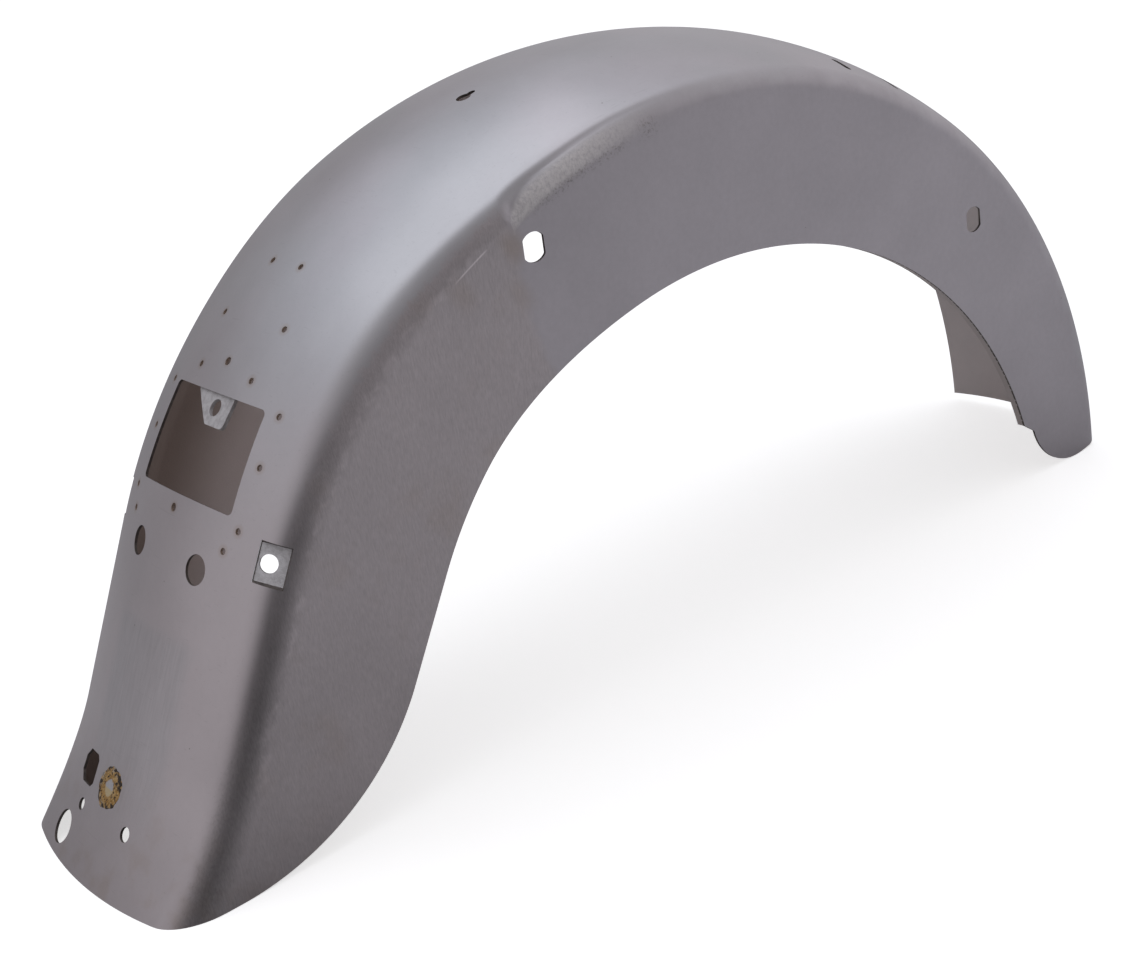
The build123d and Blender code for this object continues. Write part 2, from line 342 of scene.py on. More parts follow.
@dataclass
class FenderForm:
    """The pressed form: the section carried along the crown, dented at the shoulders."""

    section: Section = field(default_factory=Section)
    ledge: Ledge = field(default_factory=Ledge)
    sheet: float = 1.5

    @property
    def crown(self) -> Crown:
        """Side view that the section is carried along."""
        return self.section.crown

    def place(self, distance: np.ndarray, across: np.ndarray, inset: float) -> np.ndarray:
        """Points of the form: the section's outline moved along its own normal.

        Args:
            distance: Distances along the crown.
            across: Places round the section, -3 at the right foot and 3 at the left foot.
            inset: How far inside the outer face the points lie.

        Returns:
            Points as (x, y, z) in the last axis.
        """
        side = np.sign(across)
        lateral, upward, sine, cosine, girth = self.section.profile(distance, np.abs(across))
        inward = inset + self.ledge.dent(distance, girth)
        point, out, _ = self.crown.station(distance)
        height = upward - inward * cosine
        y = side * (lateral - inward * sine)
        return np.stack([point[..., 0] + height * out[..., 0], y, point[..., 1] + height * out[..., 1]], -1)

    def gap(self, points: np.ndarray) -> np.ndarray:
        """Signed distance of points from the outer face: the section's gap plus the dent.

        Args:
            points: Points as (x, y, z) in the last axis.

        Returns:
            Distances, positive outside.
        """
        distance, height = self.crown.locate(points[..., 0], points[..., 2])
        gap, girth = self.section.measure(distance, np.abs(points[..., 1]), height)
        return gap + self.ledge.dent(distance, girth)

    def normal(self, points: np.ndarray, step: float = 0.4) -> np.ndarray:
        """Outward unit normals: the slope of the gap by central differences.

        Args:
            points: Points on or near the sheet.
            step: Half the length of each difference.

        Returns:
            Unit normals as (x, y, z) in the last axis.
        """
        shifts = step * np.eye(3)
        slope = np.stack([self.gap(points + s) - self.gap(points - s) for s in shifts], -1)
        return slope / np.maximum(np.linalg.norm(slope, axis=-1, keepdims=True), 1e-9)

    def tangent(self, distance: float, lateral: float) -> "Pose":
        """Pose that touches the crown: x to the left, y rearward, z outward.

        Args:
            distance: Distance along the crown.
            lateral: Distance to the left of the centre plane.

        Returns:
            The pose, with its origin on the outer face.
        """
        point, out, along = self.crown.station(np.array(distance))
        camber = float(self.section.bends(np.array(distance))[0])
        lean = math.asin(lateral / camber)
        drop = camber * (math.cos(lean) - 1.0)
        foot = np.array([point[0] + drop * out[0], lateral, point[1] + drop * out[1]])
        across = np.array([-math.sin(lean) * out[0], math.cos(lean), -math.sin(lean) * out[1]])
        normal = np.array([math.cos(lean) * out[0], math.sin(lean), math.cos(lean) * out[1]])
        return Pose(foot, across, np.array([along[0], 0.0, along[1]]), normal)


@dataclass
class Pose:
    """A place with three directions of its own."""

    origin: np.ndarray
    x: np.ndarray
    y: np.ndarray
    z: np.ndarray

    def put(self, local: np.ndarray) -> np.ndarray:
        """Points given in this pose, in the fender's frame."""
        return self.origin + local[..., :1] * self.x + local[..., 1:2] * self.y + local[..., 2:3] * self.z


@dataclass
class Patch:
    """Vertices and polygons of a mesh in the making."""

    points: np.ndarray
    faces: list

    @staticmethod
    def joined(patches: list["Patch"]) -> "Patch":
        """One patch of several, each kept as an island.

        Args:
            patches: The patches to join.

        Returns:
            The joined patch.
        """
        starts = np.cumsum([0] + [len(p.points) for p in patches[:-1]])
        faces = [np.asarray(f) + s for p, s in zip(patches, starts) for f in p.faces]
        return Patch(np.concatenate([p.points for p in patches]), faces)

    def mesh(self, name: str) -> bpy.types.Mesh:
        """Mesh of the patch, in metres.

        Args:
            name: The mesh's name.

        Returns:
            The new mesh.
        """
        made = bpy.data.meshes.new(name)
        made.from_pydata((self.points * MM).tolist(), [], [list(map(int, f)) for f in self.faces])
        made.update()
        return made


def prism(outline: np.ndarray, pose: Pose, low: float, high: float) -> Patch:
    """Closed prism: an outline, counter-clockwise, carried along the pose's z.

    Args:
        outline: Corner points in the pose's x and y.
        pose: Where the outline lies.
        low: Start along z.
        high: End along z.

    Returns:
        The prism.
    """
    count = len(outline)
    rings = [np.c_[outline, np.full(count, level)] for level in (low, high)]
    here = np.arange(count)
    there = np.roll(here, -1)
    walls = np.stack([here, there, there + count, here + count], -1)
    caps = [here[::-1], here + count]
    return Patch(pose.put(np.concatenate(rings)), caps + list(walls))


def sheet_block(outer: np.ndarray, inner: np.ndarray) -> Patch:
    """Closed sheet between two grids of the same size, with its four edges.

    Args:
        outer: Grid of the outer face, as rows, columns and (x, y, z).
        inner: Grid of the inner face.

    Returns:
        The closed block, outer vertices first.
    """
    rows, columns = outer.shape[:2]
    index = np.arange(rows * columns).reshape(rows, columns)
    deep = index + rows * columns
    quads = np.stack([index[:-1, :-1], index[:-1, 1:], index[1:, 1:], index[1:, :-1]], -1).reshape(-1, 4)
    under = quads[:, ::-1] + rows * columns
    edges = [
        np.stack([index[0, 1:], index[0, :-1], deep[0, :-1], deep[0, 1:]], -1),
        np.stack([index[-1, :-1], index[-1, 1:], deep[-1, 1:], deep[-1, :-1]], -1),
        np.stack([index[:-1, 0], index[1:, 0], deep[1:, 0], deep[:-1, 0]], -1),
        np.stack([index[1:, -1], index[:-1, -1], deep[:-1, -1], deep[1:, -1]], -1),
    ]
    points = np.concatenate([outer.reshape(-1, 3), inner.reshape(-1, 3)])
    return Patch(points, list(np.concatenate([quads, under] + edges)))


def cut(body: Patch, groups: list[Patch]) -> tuple[np.ndarray, list, np.ndarray]:
    """Take cutting blocks away from a closed body, one group after another.

    Args:
        body: The closed body.
        groups: Closed cutting blocks; the islands of a group don't touch each other.

    Returns:
        Vertices in millimetres, polygons, and polygon normals of what is left.
    """
    base = bpy.data.objects.new("cut_base", body.mesh("cut_base"))
    tools = [bpy.data.objects.new("cut_tool", group.mesh("cut_tool")) for group in groups]
    for made in [base] + tools:
        bpy.context.scene.collection.objects.link(made)
    for tool in tools:
        step = base.modifiers.new("cut", "BOOLEAN")
        step.operation = "DIFFERENCE"
        step.solver = "MANIFOLD"
        step.object = tool
    bpy.context.view_layer.update()
    left = bpy.data.meshes.new_from_object(base.evaluated_get(bpy.context.evaluated_depsgraph_get()))
    points = np.empty(len(left.vertices) * 3)
    left.vertices.foreach_get("co", points)
    normals = np.empty(len(left.polygons) * 3)
    left.polygons.foreach_get("normal", normals)
    faces = [np.array(p.vertices) for p in left.polygons]
    meshes = [made.data for made in [base] + tools]
    for made in [base] + tools:
        bpy.data.objects.remove(made)
    for made in meshes + [left]:
        bpy.data.meshes.remove(made)
    return points.reshape(-1, 3) / MM, faces, normals.reshape(-1, 3)


def circle(diameter: float, count: int = 40) -> np.ndarray:
    """Outline of a round hole."""
    turn = np.linspace(0.0, 2 * math.pi, count, endpoint=False)
    return 0.5 * diameter * np.stack([np.cos(turn), np.sin(turn)], -1)


def arc(centre: tuple[float, float], radius: float, start: float, end: float, count: int) -> np.ndarray:
    """Points on an arc, from one angle in degrees to another."""
    turn = np.radians(np.linspace(start, end, count))
    return np.stack([centre[0] + radius * np.cos(turn), centre[1] + radius * np.sin(turn)], -1)


def rounded(width: float, height: float, radius: float, count: int = 8) -> np.ndarray:
    """Outline of a rectangle with rounded corners: four quarter arcs, counter-clockwise.

    Args:
        width: Size along x.
        height: Size along y.
        radius: Radius of the corners.
        count: Points on each corner.

    Returns:
        Corner points in x and y.
    """
    x, y = 0.5 * width - radius, 0.5 * height - radius
    corners = ((x, y, 0), (-x, y, 90), (-x, -y, 180), (x, -y, 270))
    return np.concatenate([arc((cx, cy), radius, a, a + 90, count) for cx, cy, a in corners])


@dataclass
class LowerEdge:
    """Side view of the lower edge: wheel arch, falling curve, straight, lobe and front tip."""

    arch_radius: float = 264.2
    arch_x: float = 24.9
    arch_front: float = 16.7
    arch_rear: float = 102.2
    fall_radius: float = 223.7
    fall_turn: float = 46.5
    fall_straight: float = 60.9
    lobe_radius: float = 141.5
    tip_radius: float = 45.0
    tip_x: float = 330.9
    tip_start: float = 195.0
    tip_rise: float = 9.0
    reach: float = 500.0

    def __post_init__(self) -> None:
        """Set the arch's height so that the lobe just touches the floor."""
        heading = math.radians(self.arch_rear + 90.0)
        last = heading + math.radians(self.fall_turn)
        self.arch_z = -(
            self.arch_radius * math.sin(math.radians(self.arch_rear))
            + self.fall_radius * (math.cos(heading) - math.cos(last))
            + self.fall_straight * math.sin(last)
            - self.lobe_radius * (1.0 + math.cos(last))
        )

    def below(self) -> np.ndarray:
        """Outline, in x and z, of everything under the lower edge: arcs joined by straight runs.

        Returns:
            Corner points, counter-clockwise in x and z.
        """
        arch = arc((self.arch_x, self.arch_z), self.arch_radius, self.arch_front, self.arch_rear, 90)
        bearing = math.radians(self.arch_rear)
        fall_centre = arch[-1] - self.fall_radius * np.array([math.cos(bearing), math.sin(bearing)])
        fall_end = self.arch_rear + self.fall_turn
        fall = arc(tuple(fall_centre), self.fall_radius, self.arch_rear, fall_end, 44)
        bearing = math.radians(fall_end)
        heading = np.array([-math.sin(bearing), math.cos(bearing)])
        outward = np.array([math.cos(bearing), math.sin(bearing)])
        foot = fall[-1] + self.fall_straight * heading
        lobe_centre = foot + self.lobe_radius * outward
        lobe = arc(tuple(lobe_centre), self.lobe_radius, fall_end - 180.0, -90.0, 44)
        tip = arc((self.tip_x, self.tip_radius), self.tip_radius, self.tip_start, 270.0 + self.tip_rise, 40)
        climb = math.tan(math.radians(self.tip_rise))
        nose = np.array([self.reach, tip[-1, 1] + (self.reach - tip[-1, 0]) * climb])
        floor = np.array([[-self.reach, 0.0], [-self.reach, -self.reach], [self.reach, -self.reach]])
        return np.concatenate([nose[None], tip[::-1], arch, fall[1:], lobe, floor])


@dataclass
class Pad:
    """Flat pad pressed into a shoulder, with a bolt hole nearer its inner edge."""

    inner: float = 70.2
    width: float = 17.0
    length: float = 21.4
    slope: float = 45.0
    sink: float = 0.8
    distance: float = 371.0
    hole: float = 9.5
    hole_shift: float = 2.1
    wall: float = 1.1
    block: float = 6.0
    cells: int = 44

    def pose(self, form: FenderForm, side: Side) -> Pose:
        """Middle of the pad's floor: x outward to the side, y along the crown, z out of the floor.

        Args:
            form: The pressed form that carries the pad.
            side: Which shoulder.

        Returns:
            The pose, right-handed on both sides.
        """
        point, out, along = form.crown.station(np.array(self.distance))
        camber = float(form.section.bends(np.array(self.distance))[0])
        drop = camber * (math.cos(math.asin(self.inner / camber)) - 1.0)
        slope, sign = math.radians(self.slope), side.value
        across = np.array([-math.sin(slope) * out[0], sign * math.cos(slope), -math.sin(slope) * out[1]])
        normal = np.array([math.cos(slope) * out[0], sign * math.sin(slope), math.cos(slope) * out[1]])
        start = np.array([point[0] + drop * out[0], sign * self.inner, point[1] + drop * out[1]])
        middle = start + 0.5 * self.width * across - self.sink * normal
        return Pose(middle, across, np.cross(normal, across), normal)

    def outline(self) -> np.ndarray:
        """Rectangle of the pad with its walls."""
        x, y = 0.5 * self.width, 0.5 * self.length
        return np.array([(-x, -y), (x, -y), (x, y), (-x, y)])

    def bolt(self) -> np.ndarray:
        """Outline of the bolt hole."""
        return circle(self.hole, 48) - np.array([self.hole_shift, 0.0])

    def tray(self, form: FenderForm, side: Side) -> Patch:
        """Closed tray: a flat floor whose rim rises in an ease to the shell's own face.

        The rim's height over the floor is found by sliding each point along the floor's normal
        until its gap from the form is zero.

        Args:
            form: The pressed form that carries the pad.
            side: Which shoulder.

        Returns:
            The tray, as thick as the sheet.
        """
        pose = self.pose(form, side)
        half = np.array([0.5 * self.width, 0.5 * self.length])
        steps = np.linspace(-1.0, 1.0, self.cells)
        y, x = np.meshgrid(steps * half[1], steps * half[0], indexing="ij")
        floor = np.stack([x, y, np.zeros_like(x)], -1)
        height = np.zeros_like(x)
        for _ in range(12):
            lifted = floor + np.stack([0 * x, 0 * x, height], -1)
            height = height - form.gap(pose.put(lifted))
        inside = np.minimum(half[0] - np.abs(x), half[1] - np.abs(y))
        floor[..., 2] = height * (1.0 - smooth(inside / self.wall))
        under = floor - np.array([0.0, 0.0, form.sheet])
        return sheet_block(pose.put(floor), pose.put(under))


@dataclass
class Piercings:
    """Holes, slots and windows in the shell."""

    depth: float = 9.0
    window_width: float = 92.0
    window_foot_width: float = 95.0
    window_top: float = 299.5
    window_bottom: float = 354.4
    window_corner: float = 3.0
    trim_hole: float = 3.6
    trim_rows: tuple = (
        (14.2, 223.1), (31.0, 257.3), (26.5, 287.8), (55.5, 299.5),
        (56.0, 326.8), (55.0, 360.5), (48.3, 372.6),
    )
    centre_hole: float = 4.6
    centre_rows: tuple = (282.3, 362.0)
    wiring_hole: float = 15.9
    wiring_spacing: float = 62.4
    wiring_distance: float = 387.0
    strut_long: float = 15.9
    strut_wide: float = 12.7
    struts: tuple = ((-92.8, 271.4), (239.6, 192.8))
    keyhole_large: float = 8.5
    keyhole_small: float = 4.0
    keyhole_pitch: float = 6.0
    keyhole_distance: float = 88.0
    keyhole_y: float = -7.5
    cross_long: float = 16.0
    cross_wide: float = 5.0
    cross_slots: tuple = ((-142.0, 74.0), (-183.0, 78.0))
    tail_slot: tuple = (18.5, 17.7, 2.5, 5.0)
    tail_slot_place: tuple = (511.8, 32.3)
    tail_holes: tuple = ((531.1, 28.5, 6.6), (548.1, 40.7, 18.5), (528.9, -22.9, 8.0), (513.5, 3.5, 12.0))
    notch_y: float = 42.0
    notch_top: float = 165.0
    notch_radius: float = 12.0

    def keyhole(self) -> np.ndarray:
        """Keyhole outline: a large arc, a straight neck and a small round end.

        Returns:
            Corner points in x and y.
        """
        neck = math.degrees(math.asin(self.keyhole_small / self.keyhole_large))
        large = arc((0.0, 0.0), 0.5 * self.keyhole_large, neck - 90.0, 270.0 - neck, 32)
        small = arc((0.0, -self.keyhole_pitch), 0.5 * self.keyhole_small, 180.0, 360.0, 16)
        return np.concatenate([large, small])

    def strut(self) -> np.ndarray:
        """Round hole with two flats."""
        outline = circle(self.strut_long, 64)
        return np.c_[np.clip(outline[:, 0], -0.5 * self.strut_wide, 0.5 * self.strut_wide), outline[:, 1]]

    def clipped_slot(self) -> np.ndarray:
        """Rectangle with clipped corners, larger on the outer side.

        Returns:
            Corner points in x and y.
        """
        width, height, clip, outer = self.tail_slot
        x, y = 0.5 * width, 0.5 * height
        return np.array([
            (x, outer - y), (x, y - outer), (x - outer, y), (clip - x, y),
            (-x, y - clip), (-x, clip - y), (clip - x, -y), (x - outer, -y),
        ])

    def window(self) -> np.ndarray:
        """Rectangle with rounded corners that widens in a straight line towards its foot.

        Returns:
            Corner points in x and y.
        """
        height = self.window_bottom - self.window_top
        outline = rounded(self.window_width, height, self.window_corner)
        share = 0.5 + outline[:, 1] / height
        outline[:, 0] *= 1.0 + share * (self.window_foot_width / self.window_width - 1.0)
        return outline

    def crossing(self) -> np.ndarray:
        """Slot with round ends, long across the crown.

        Returns:
            Corner points in x and y.
        """
        reach, radius = 0.5 * (self.cross_long - self.cross_wide), 0.5 * self.cross_wide
        ends = [arc((reach, 0.0), radius, -90, 90, 16), arc((-reach, 0.0), radius, 90, 270, 16)]
        return np.concatenate(ends)

    def small_holes(self, form: FenderForm) -> np.ndarray:
        """Middles of the trim holes and centre holes on the outer face.

        Args:
            form: The pressed form.

        Returns:
            Points as rows of (x, y, z).
        """
        rows = [(sign * lateral, distance) for lateral, distance in self.trim_rows for sign in (-1.0, 1.0)]
        rows += [(0.0, distance) for distance in self.centre_rows]
        return np.array([form.tangent(distance, lateral).origin for lateral, distance in rows])

    def tools(self, form: FenderForm, edge: LowerEdge) -> list[Patch]:
        """Every cutting block of the shell.

        Args:
            form: The pressed form.
            edge: The lower edge of the sides.

        Returns:
            The lower edge's block, the notch's block and the holes in one group.
        """
        made = []

        def through(outline: np.ndarray, distance: float, lateral: float, reach: float = self.depth) -> None:
            """Add a block through the crown at a place."""
            made.append(prism(outline, form.tangent(distance, lateral), -reach, reach))

        middle = 0.5 * (self.window_top + self.window_bottom)
        through(self.window(), middle, 0.0, 2 * self.depth)
        for sign in (-1.0, 1.0):
            for lateral, distance in self.trim_rows:
                through(circle(self.trim_hole, 28), distance, sign * lateral)
            through(circle(self.wiring_hole, 56), self.wiring_distance, sign * 0.5 * self.wiring_spacing)
            for distance, lateral in self.cross_slots:
                through(self.crossing(), distance, sign * lateral)
        for distance in self.centre_rows:
            through(circle(self.centre_hole, 28), distance, 0.0)
        through(self.keyhole(), self.keyhole_distance, self.keyhole_y)
        through(self.clipped_slot(), *self.tail_slot_place)
        for distance, lateral, diameter in self.tail_holes:
            through(circle(diameter, 56), distance, lateral)
        forward, leftward, upward = np.eye(3)
        side_view = Pose(np.zeros(3), forward, upward, -leftward)
        for x, z in self.struts:
            outline = self.strut() + np.array([x, z])
            for sign in (-1.0, 1.0):
                mid = sign * form.section.half_front
                made.append(prism(outline, side_view, mid - self.depth, mid + self.depth))
        wide = 2 * form.section.half_front
        under = prism(edge.below(), side_view, -wide, wide)
        front_view = Pose(edge.arch_x * forward, leftward, upward, forward)
        notch = rounded(wide, form.crown.radius, self.notch_radius)
        notch = notch + np.array([self.notch_y + 0.5 * wide, self.notch_top - 0.5 * form.crown.radius])
        corner = prism(notch, front_view, 0.0, 2 * form.crown.radius)
        return [under, corner, Patch.joined(made)]


@dataclass
class FenderShell:
    """The pressed shell with its pads, its lip and its piercings."""

    form: FenderForm = field(default_factory=FenderForm)
    edge: LowerEdge = field(default_factory=LowerEdge)
    pad: Pad = field(default_factory=Pad)
    piercings: Piercings = field(default_factory=Piercings)
    lip_width: float = 5.0
    floor_facing: float = 0.85
    under_facing: float = -0.3
    skin_facing: float = 0.6
    skin_gap: float = 0.6
    row_step: float = 4.0
    ledge_step: float = 2.5
    camber_cells: int = 24
    roll_cells: int = 12
    side_cells: int = 26

    def rows(self) -> np.ndarray:
        """Distances of the grid's rows, closer together along the ledge.

        Returns:
            Distances along the crown, rising.
        """
        crown, ledge = self.form.crown, self.form.ledge
        stops = [crown.start, ledge.front, ledge.rear + 10.0, crown.end]
        steps = [self.row_step, self.ledge_step, self.row_step]
        runs = [np.linspace(a, b, int((b - a) / s) + 1)[:-1] for a, b, s in zip(stops, stops[1:], steps)]
        return np.concatenate(runs + [np.array([crown.end])])

    def columns(self) -> np.ndarray:
        """Places round the section: closer together towards the rolls, and down the sides wider.

        Returns:
            Places from -3 at the right foot to 3 at the left foot.
        """
        camber = np.sin(np.linspace(0.0, math.pi / 2, self.camber_cells + 1)) ** 0.9
        roll = 1.0 + np.linspace(0.0, 1.0, self.roll_cells + 1)[1:]
        side = 2.0 + np.linspace(0.0, 1.0, self.side_cells + 1)[1:] ** 1.3
        half = np.concatenate([camber[1:], roll, side])
        return np.concatenate([-half[::-1], [0.0], half])

    def blank(self) -> Patch:
        """The sheet before it is pierced.

        Returns:
            The closed sheet between the outer and the inner face.
        """
        distance, across = np.meshgrid(self.rows(), self.columns(), indexing="ij")
        faces = [self.form.place(distance, across, inset) for inset in (0.0, self.form.sheet)]
        return sheet_block(*faces)

    def lip(self, side: Side) -> Patch:
        """Lip along the arch: a small rectangle turned about the arch's centre.

        Args:
            side: Which side panel.

        Returns:
            The closed lip.
        """
        edge, sheet = self.edge, self.form.sheet
        turn = np.radians(np.linspace(edge.arch_front, edge.arch_rear, 120))[:, None]
        outer = self.form.section.half_front - 0.5 * sheet
        inner = outer - self.lip_width
        corners = np.array([[0.0, outer], [0.0, inner], [sheet, inner], [sheet, outer]])
        radius = edge.arch_radius + corners[:, 0]
        y = np.broadcast_to(side.value * corners[:, 1], (len(turn), 4))
        rings = np.stack([edge.arch_x + radius * np.cos(turn), y, edge.arch_z + radius * np.sin(turn)], -1)
        index = np.arange(rings.size // 3).reshape(-1, 4)
        here, there = index[:-1], index[1:]
        beside = np.roll(index, -1, axis=1)
        walls = np.stack([here, beside[:-1], beside[1:], there], -1).reshape(-1, 4)
        caps = [index[0][::-1], index[-1]]
        faces = list(walls) + caps
        if side is Side.LEFT:
            faces = [np.asarray(f)[::-1] for f in faces]
        return Patch(rings.reshape(-1, 3), faces)

    def build(self, name: str) -> bpy.types.Object:
        """Make the shell as one object with face classes, normals and surface attributes.

        Args:
            name: The object's name.

        Returns:
            The new object, in the scene.
        """
        tools = self.piercings.tools(self.form, self.edge)
        poses = {side: self.pad.pose(self.form, side) for side in Side}
        deep, outline = self.pad.block, self.pad.outline()
        tools.append(Patch.joined([prism(outline, pose, -deep, deep) for pose in poses.values()]))
        shell, faces, flat = cut(self.blank(), tools)
        LOG.info("shell cut: %d polygons", len(faces))
        pieces, skins = [Patch(shell, faces)], [self.classes(shell, faces, flat)]
        for side, pose in poses.items():
            bolt = prism(self.pad.bolt(), pose, -self.piercings.depth, self.piercings.depth)
            tray, tray_faces, tray_flat = cut(self.pad.tray(self.form, side), [bolt])
            facing = tray_flat @ pose.z
            # the pads' walls take the dark cut-edge finish as painted shade round each pocket
            kind = np.where(facing > self.floor_facing, Skin.PAD.value, Skin.EDGE.value)
            kind = np.where(facing < self.under_facing, Skin.INNER.value, kind)
            pieces.append(Patch(tray, tray_faces))
            skins.append(kind)
            lip, lip_faces, _ = cut(self.lip(side), tools[1:2])
            pieces.append(Patch(lip, lip_faces))
            skins.append(np.full(len(lip_faces), Skin.INNER.value))
        whole = Patch.joined(pieces)
        made = bpy.data.objects.new(name, whole.mesh(name))
        bpy.context.scene.collection.objects.link(made)
        made.data.polygons.foreach_set("material_index", np.concatenate(skins).astype(np.int32))
        self.note_places(made.data, whole.points)
        self.shade(made.data, len(faces))
        return made

    def classes(self, points: np.ndarray, faces: list, flat: np.ndarray) -> np.ndarray:
        """Face classes by how far each polygon faces out of the form.

        Args:
            points: Vertices in millimetres.
            faces: Polygons.
            flat: Polygon normals.

        Returns:
            Material slots, one a polygon.
        """
        middles = np.array([points[f].mean(0) for f in faces])
        facing = np.einsum("ij,ij->i", flat, self.form.normal(middles))
        within = np.abs(self.form.gap(middles))
        outer = (facing > self.skin_facing) & (within < self.skin_gap)
        inner = (facing < -self.skin_facing) & (np.abs(within - self.form.sheet) < self.skin_gap)
        return np.where(outer, Skin.OUTER.value, np.where(inner, Skin.INNER.value, Skin.EDGE.value))

    def note_places(self, mesh: bpy.types.Mesh, points: np.ndarray) -> None:
        """Write each vertex's place on the sheet for the finishes.

        The places are along the crown, across it round the section, down from it and on the
        ledge's bevel.

        Args:
            mesh: The shell's mesh.
            points: Its vertices in millimetres.
        """
        distance, height = self.form.crown.locate(points[:, 0], points[:, 2])
        _, girth = self.form.section.measure(distance, np.abs(points[:, 1]), height)
        bevel = self.form.ledge.bevel(distance, girth) / MM
        across = np.sign(points[:, 1]) * girth
        places = {"along": distance, "across": across, "down": -height, "bevel": bevel}
        for label, values in places.items():
            layer = mesh.attributes.new(label, "FLOAT", "POINT")
            layer.data.foreach_set("value", (values * MM).astype(np.float32))

    def shade(self, mesh: bpy.types.Mesh, shell_faces: int) -> None:
        """Give the curved faces the form's own normals and leave cut edges flat.

        Args:
            mesh: The shell's mesh.
            shell_faces: How many of its polygons belong to the pressed sheet.
        """
        mesh.polygons.foreach_set("use_smooth", np.ones(len(mesh.polygons), bool))
        corners = np.empty(len(mesh.loops), np.int32)
        mesh.loops.foreach_get("vertex_index", corners)
        starts = np.empty(len(mesh.polygons), np.int32)
        totals = np.empty(len(mesh.polygons), np.int32)
        kinds = np.empty(len(mesh.polygons), np.int32)
        flat = np.empty(len(mesh.polygons) * 3)
        points = np.empty(len(mesh.vertices) * 3)
        mesh.polygons.foreach_get("loop_start", starts)
        mesh.polygons.foreach_get("loop_total", totals)
        mesh.polygons.foreach_get("material_index", kinds)
        mesh.polygons.foreach_get("normal", flat)
        mesh.vertices.foreach_get("co", points)
        owner = np.repeat(np.arange(len(mesh.polygons)), totals)
        formed = self.form.normal(points.reshape(-1, 3) / MM)[corners]
        normals = flat.reshape(-1, 3)[owner]
        of_sheet = owner < shell_faces
        outer = of_sheet & (kinds[owner] == Skin.OUTER.value)
        inner = of_sheet & (kinds[owner] == Skin.INNER.value)
        normals[outer] = formed[outer]
        normals[inner] = -formed[inner]
        mesh.normals_split_custom_set(normals.tolist())


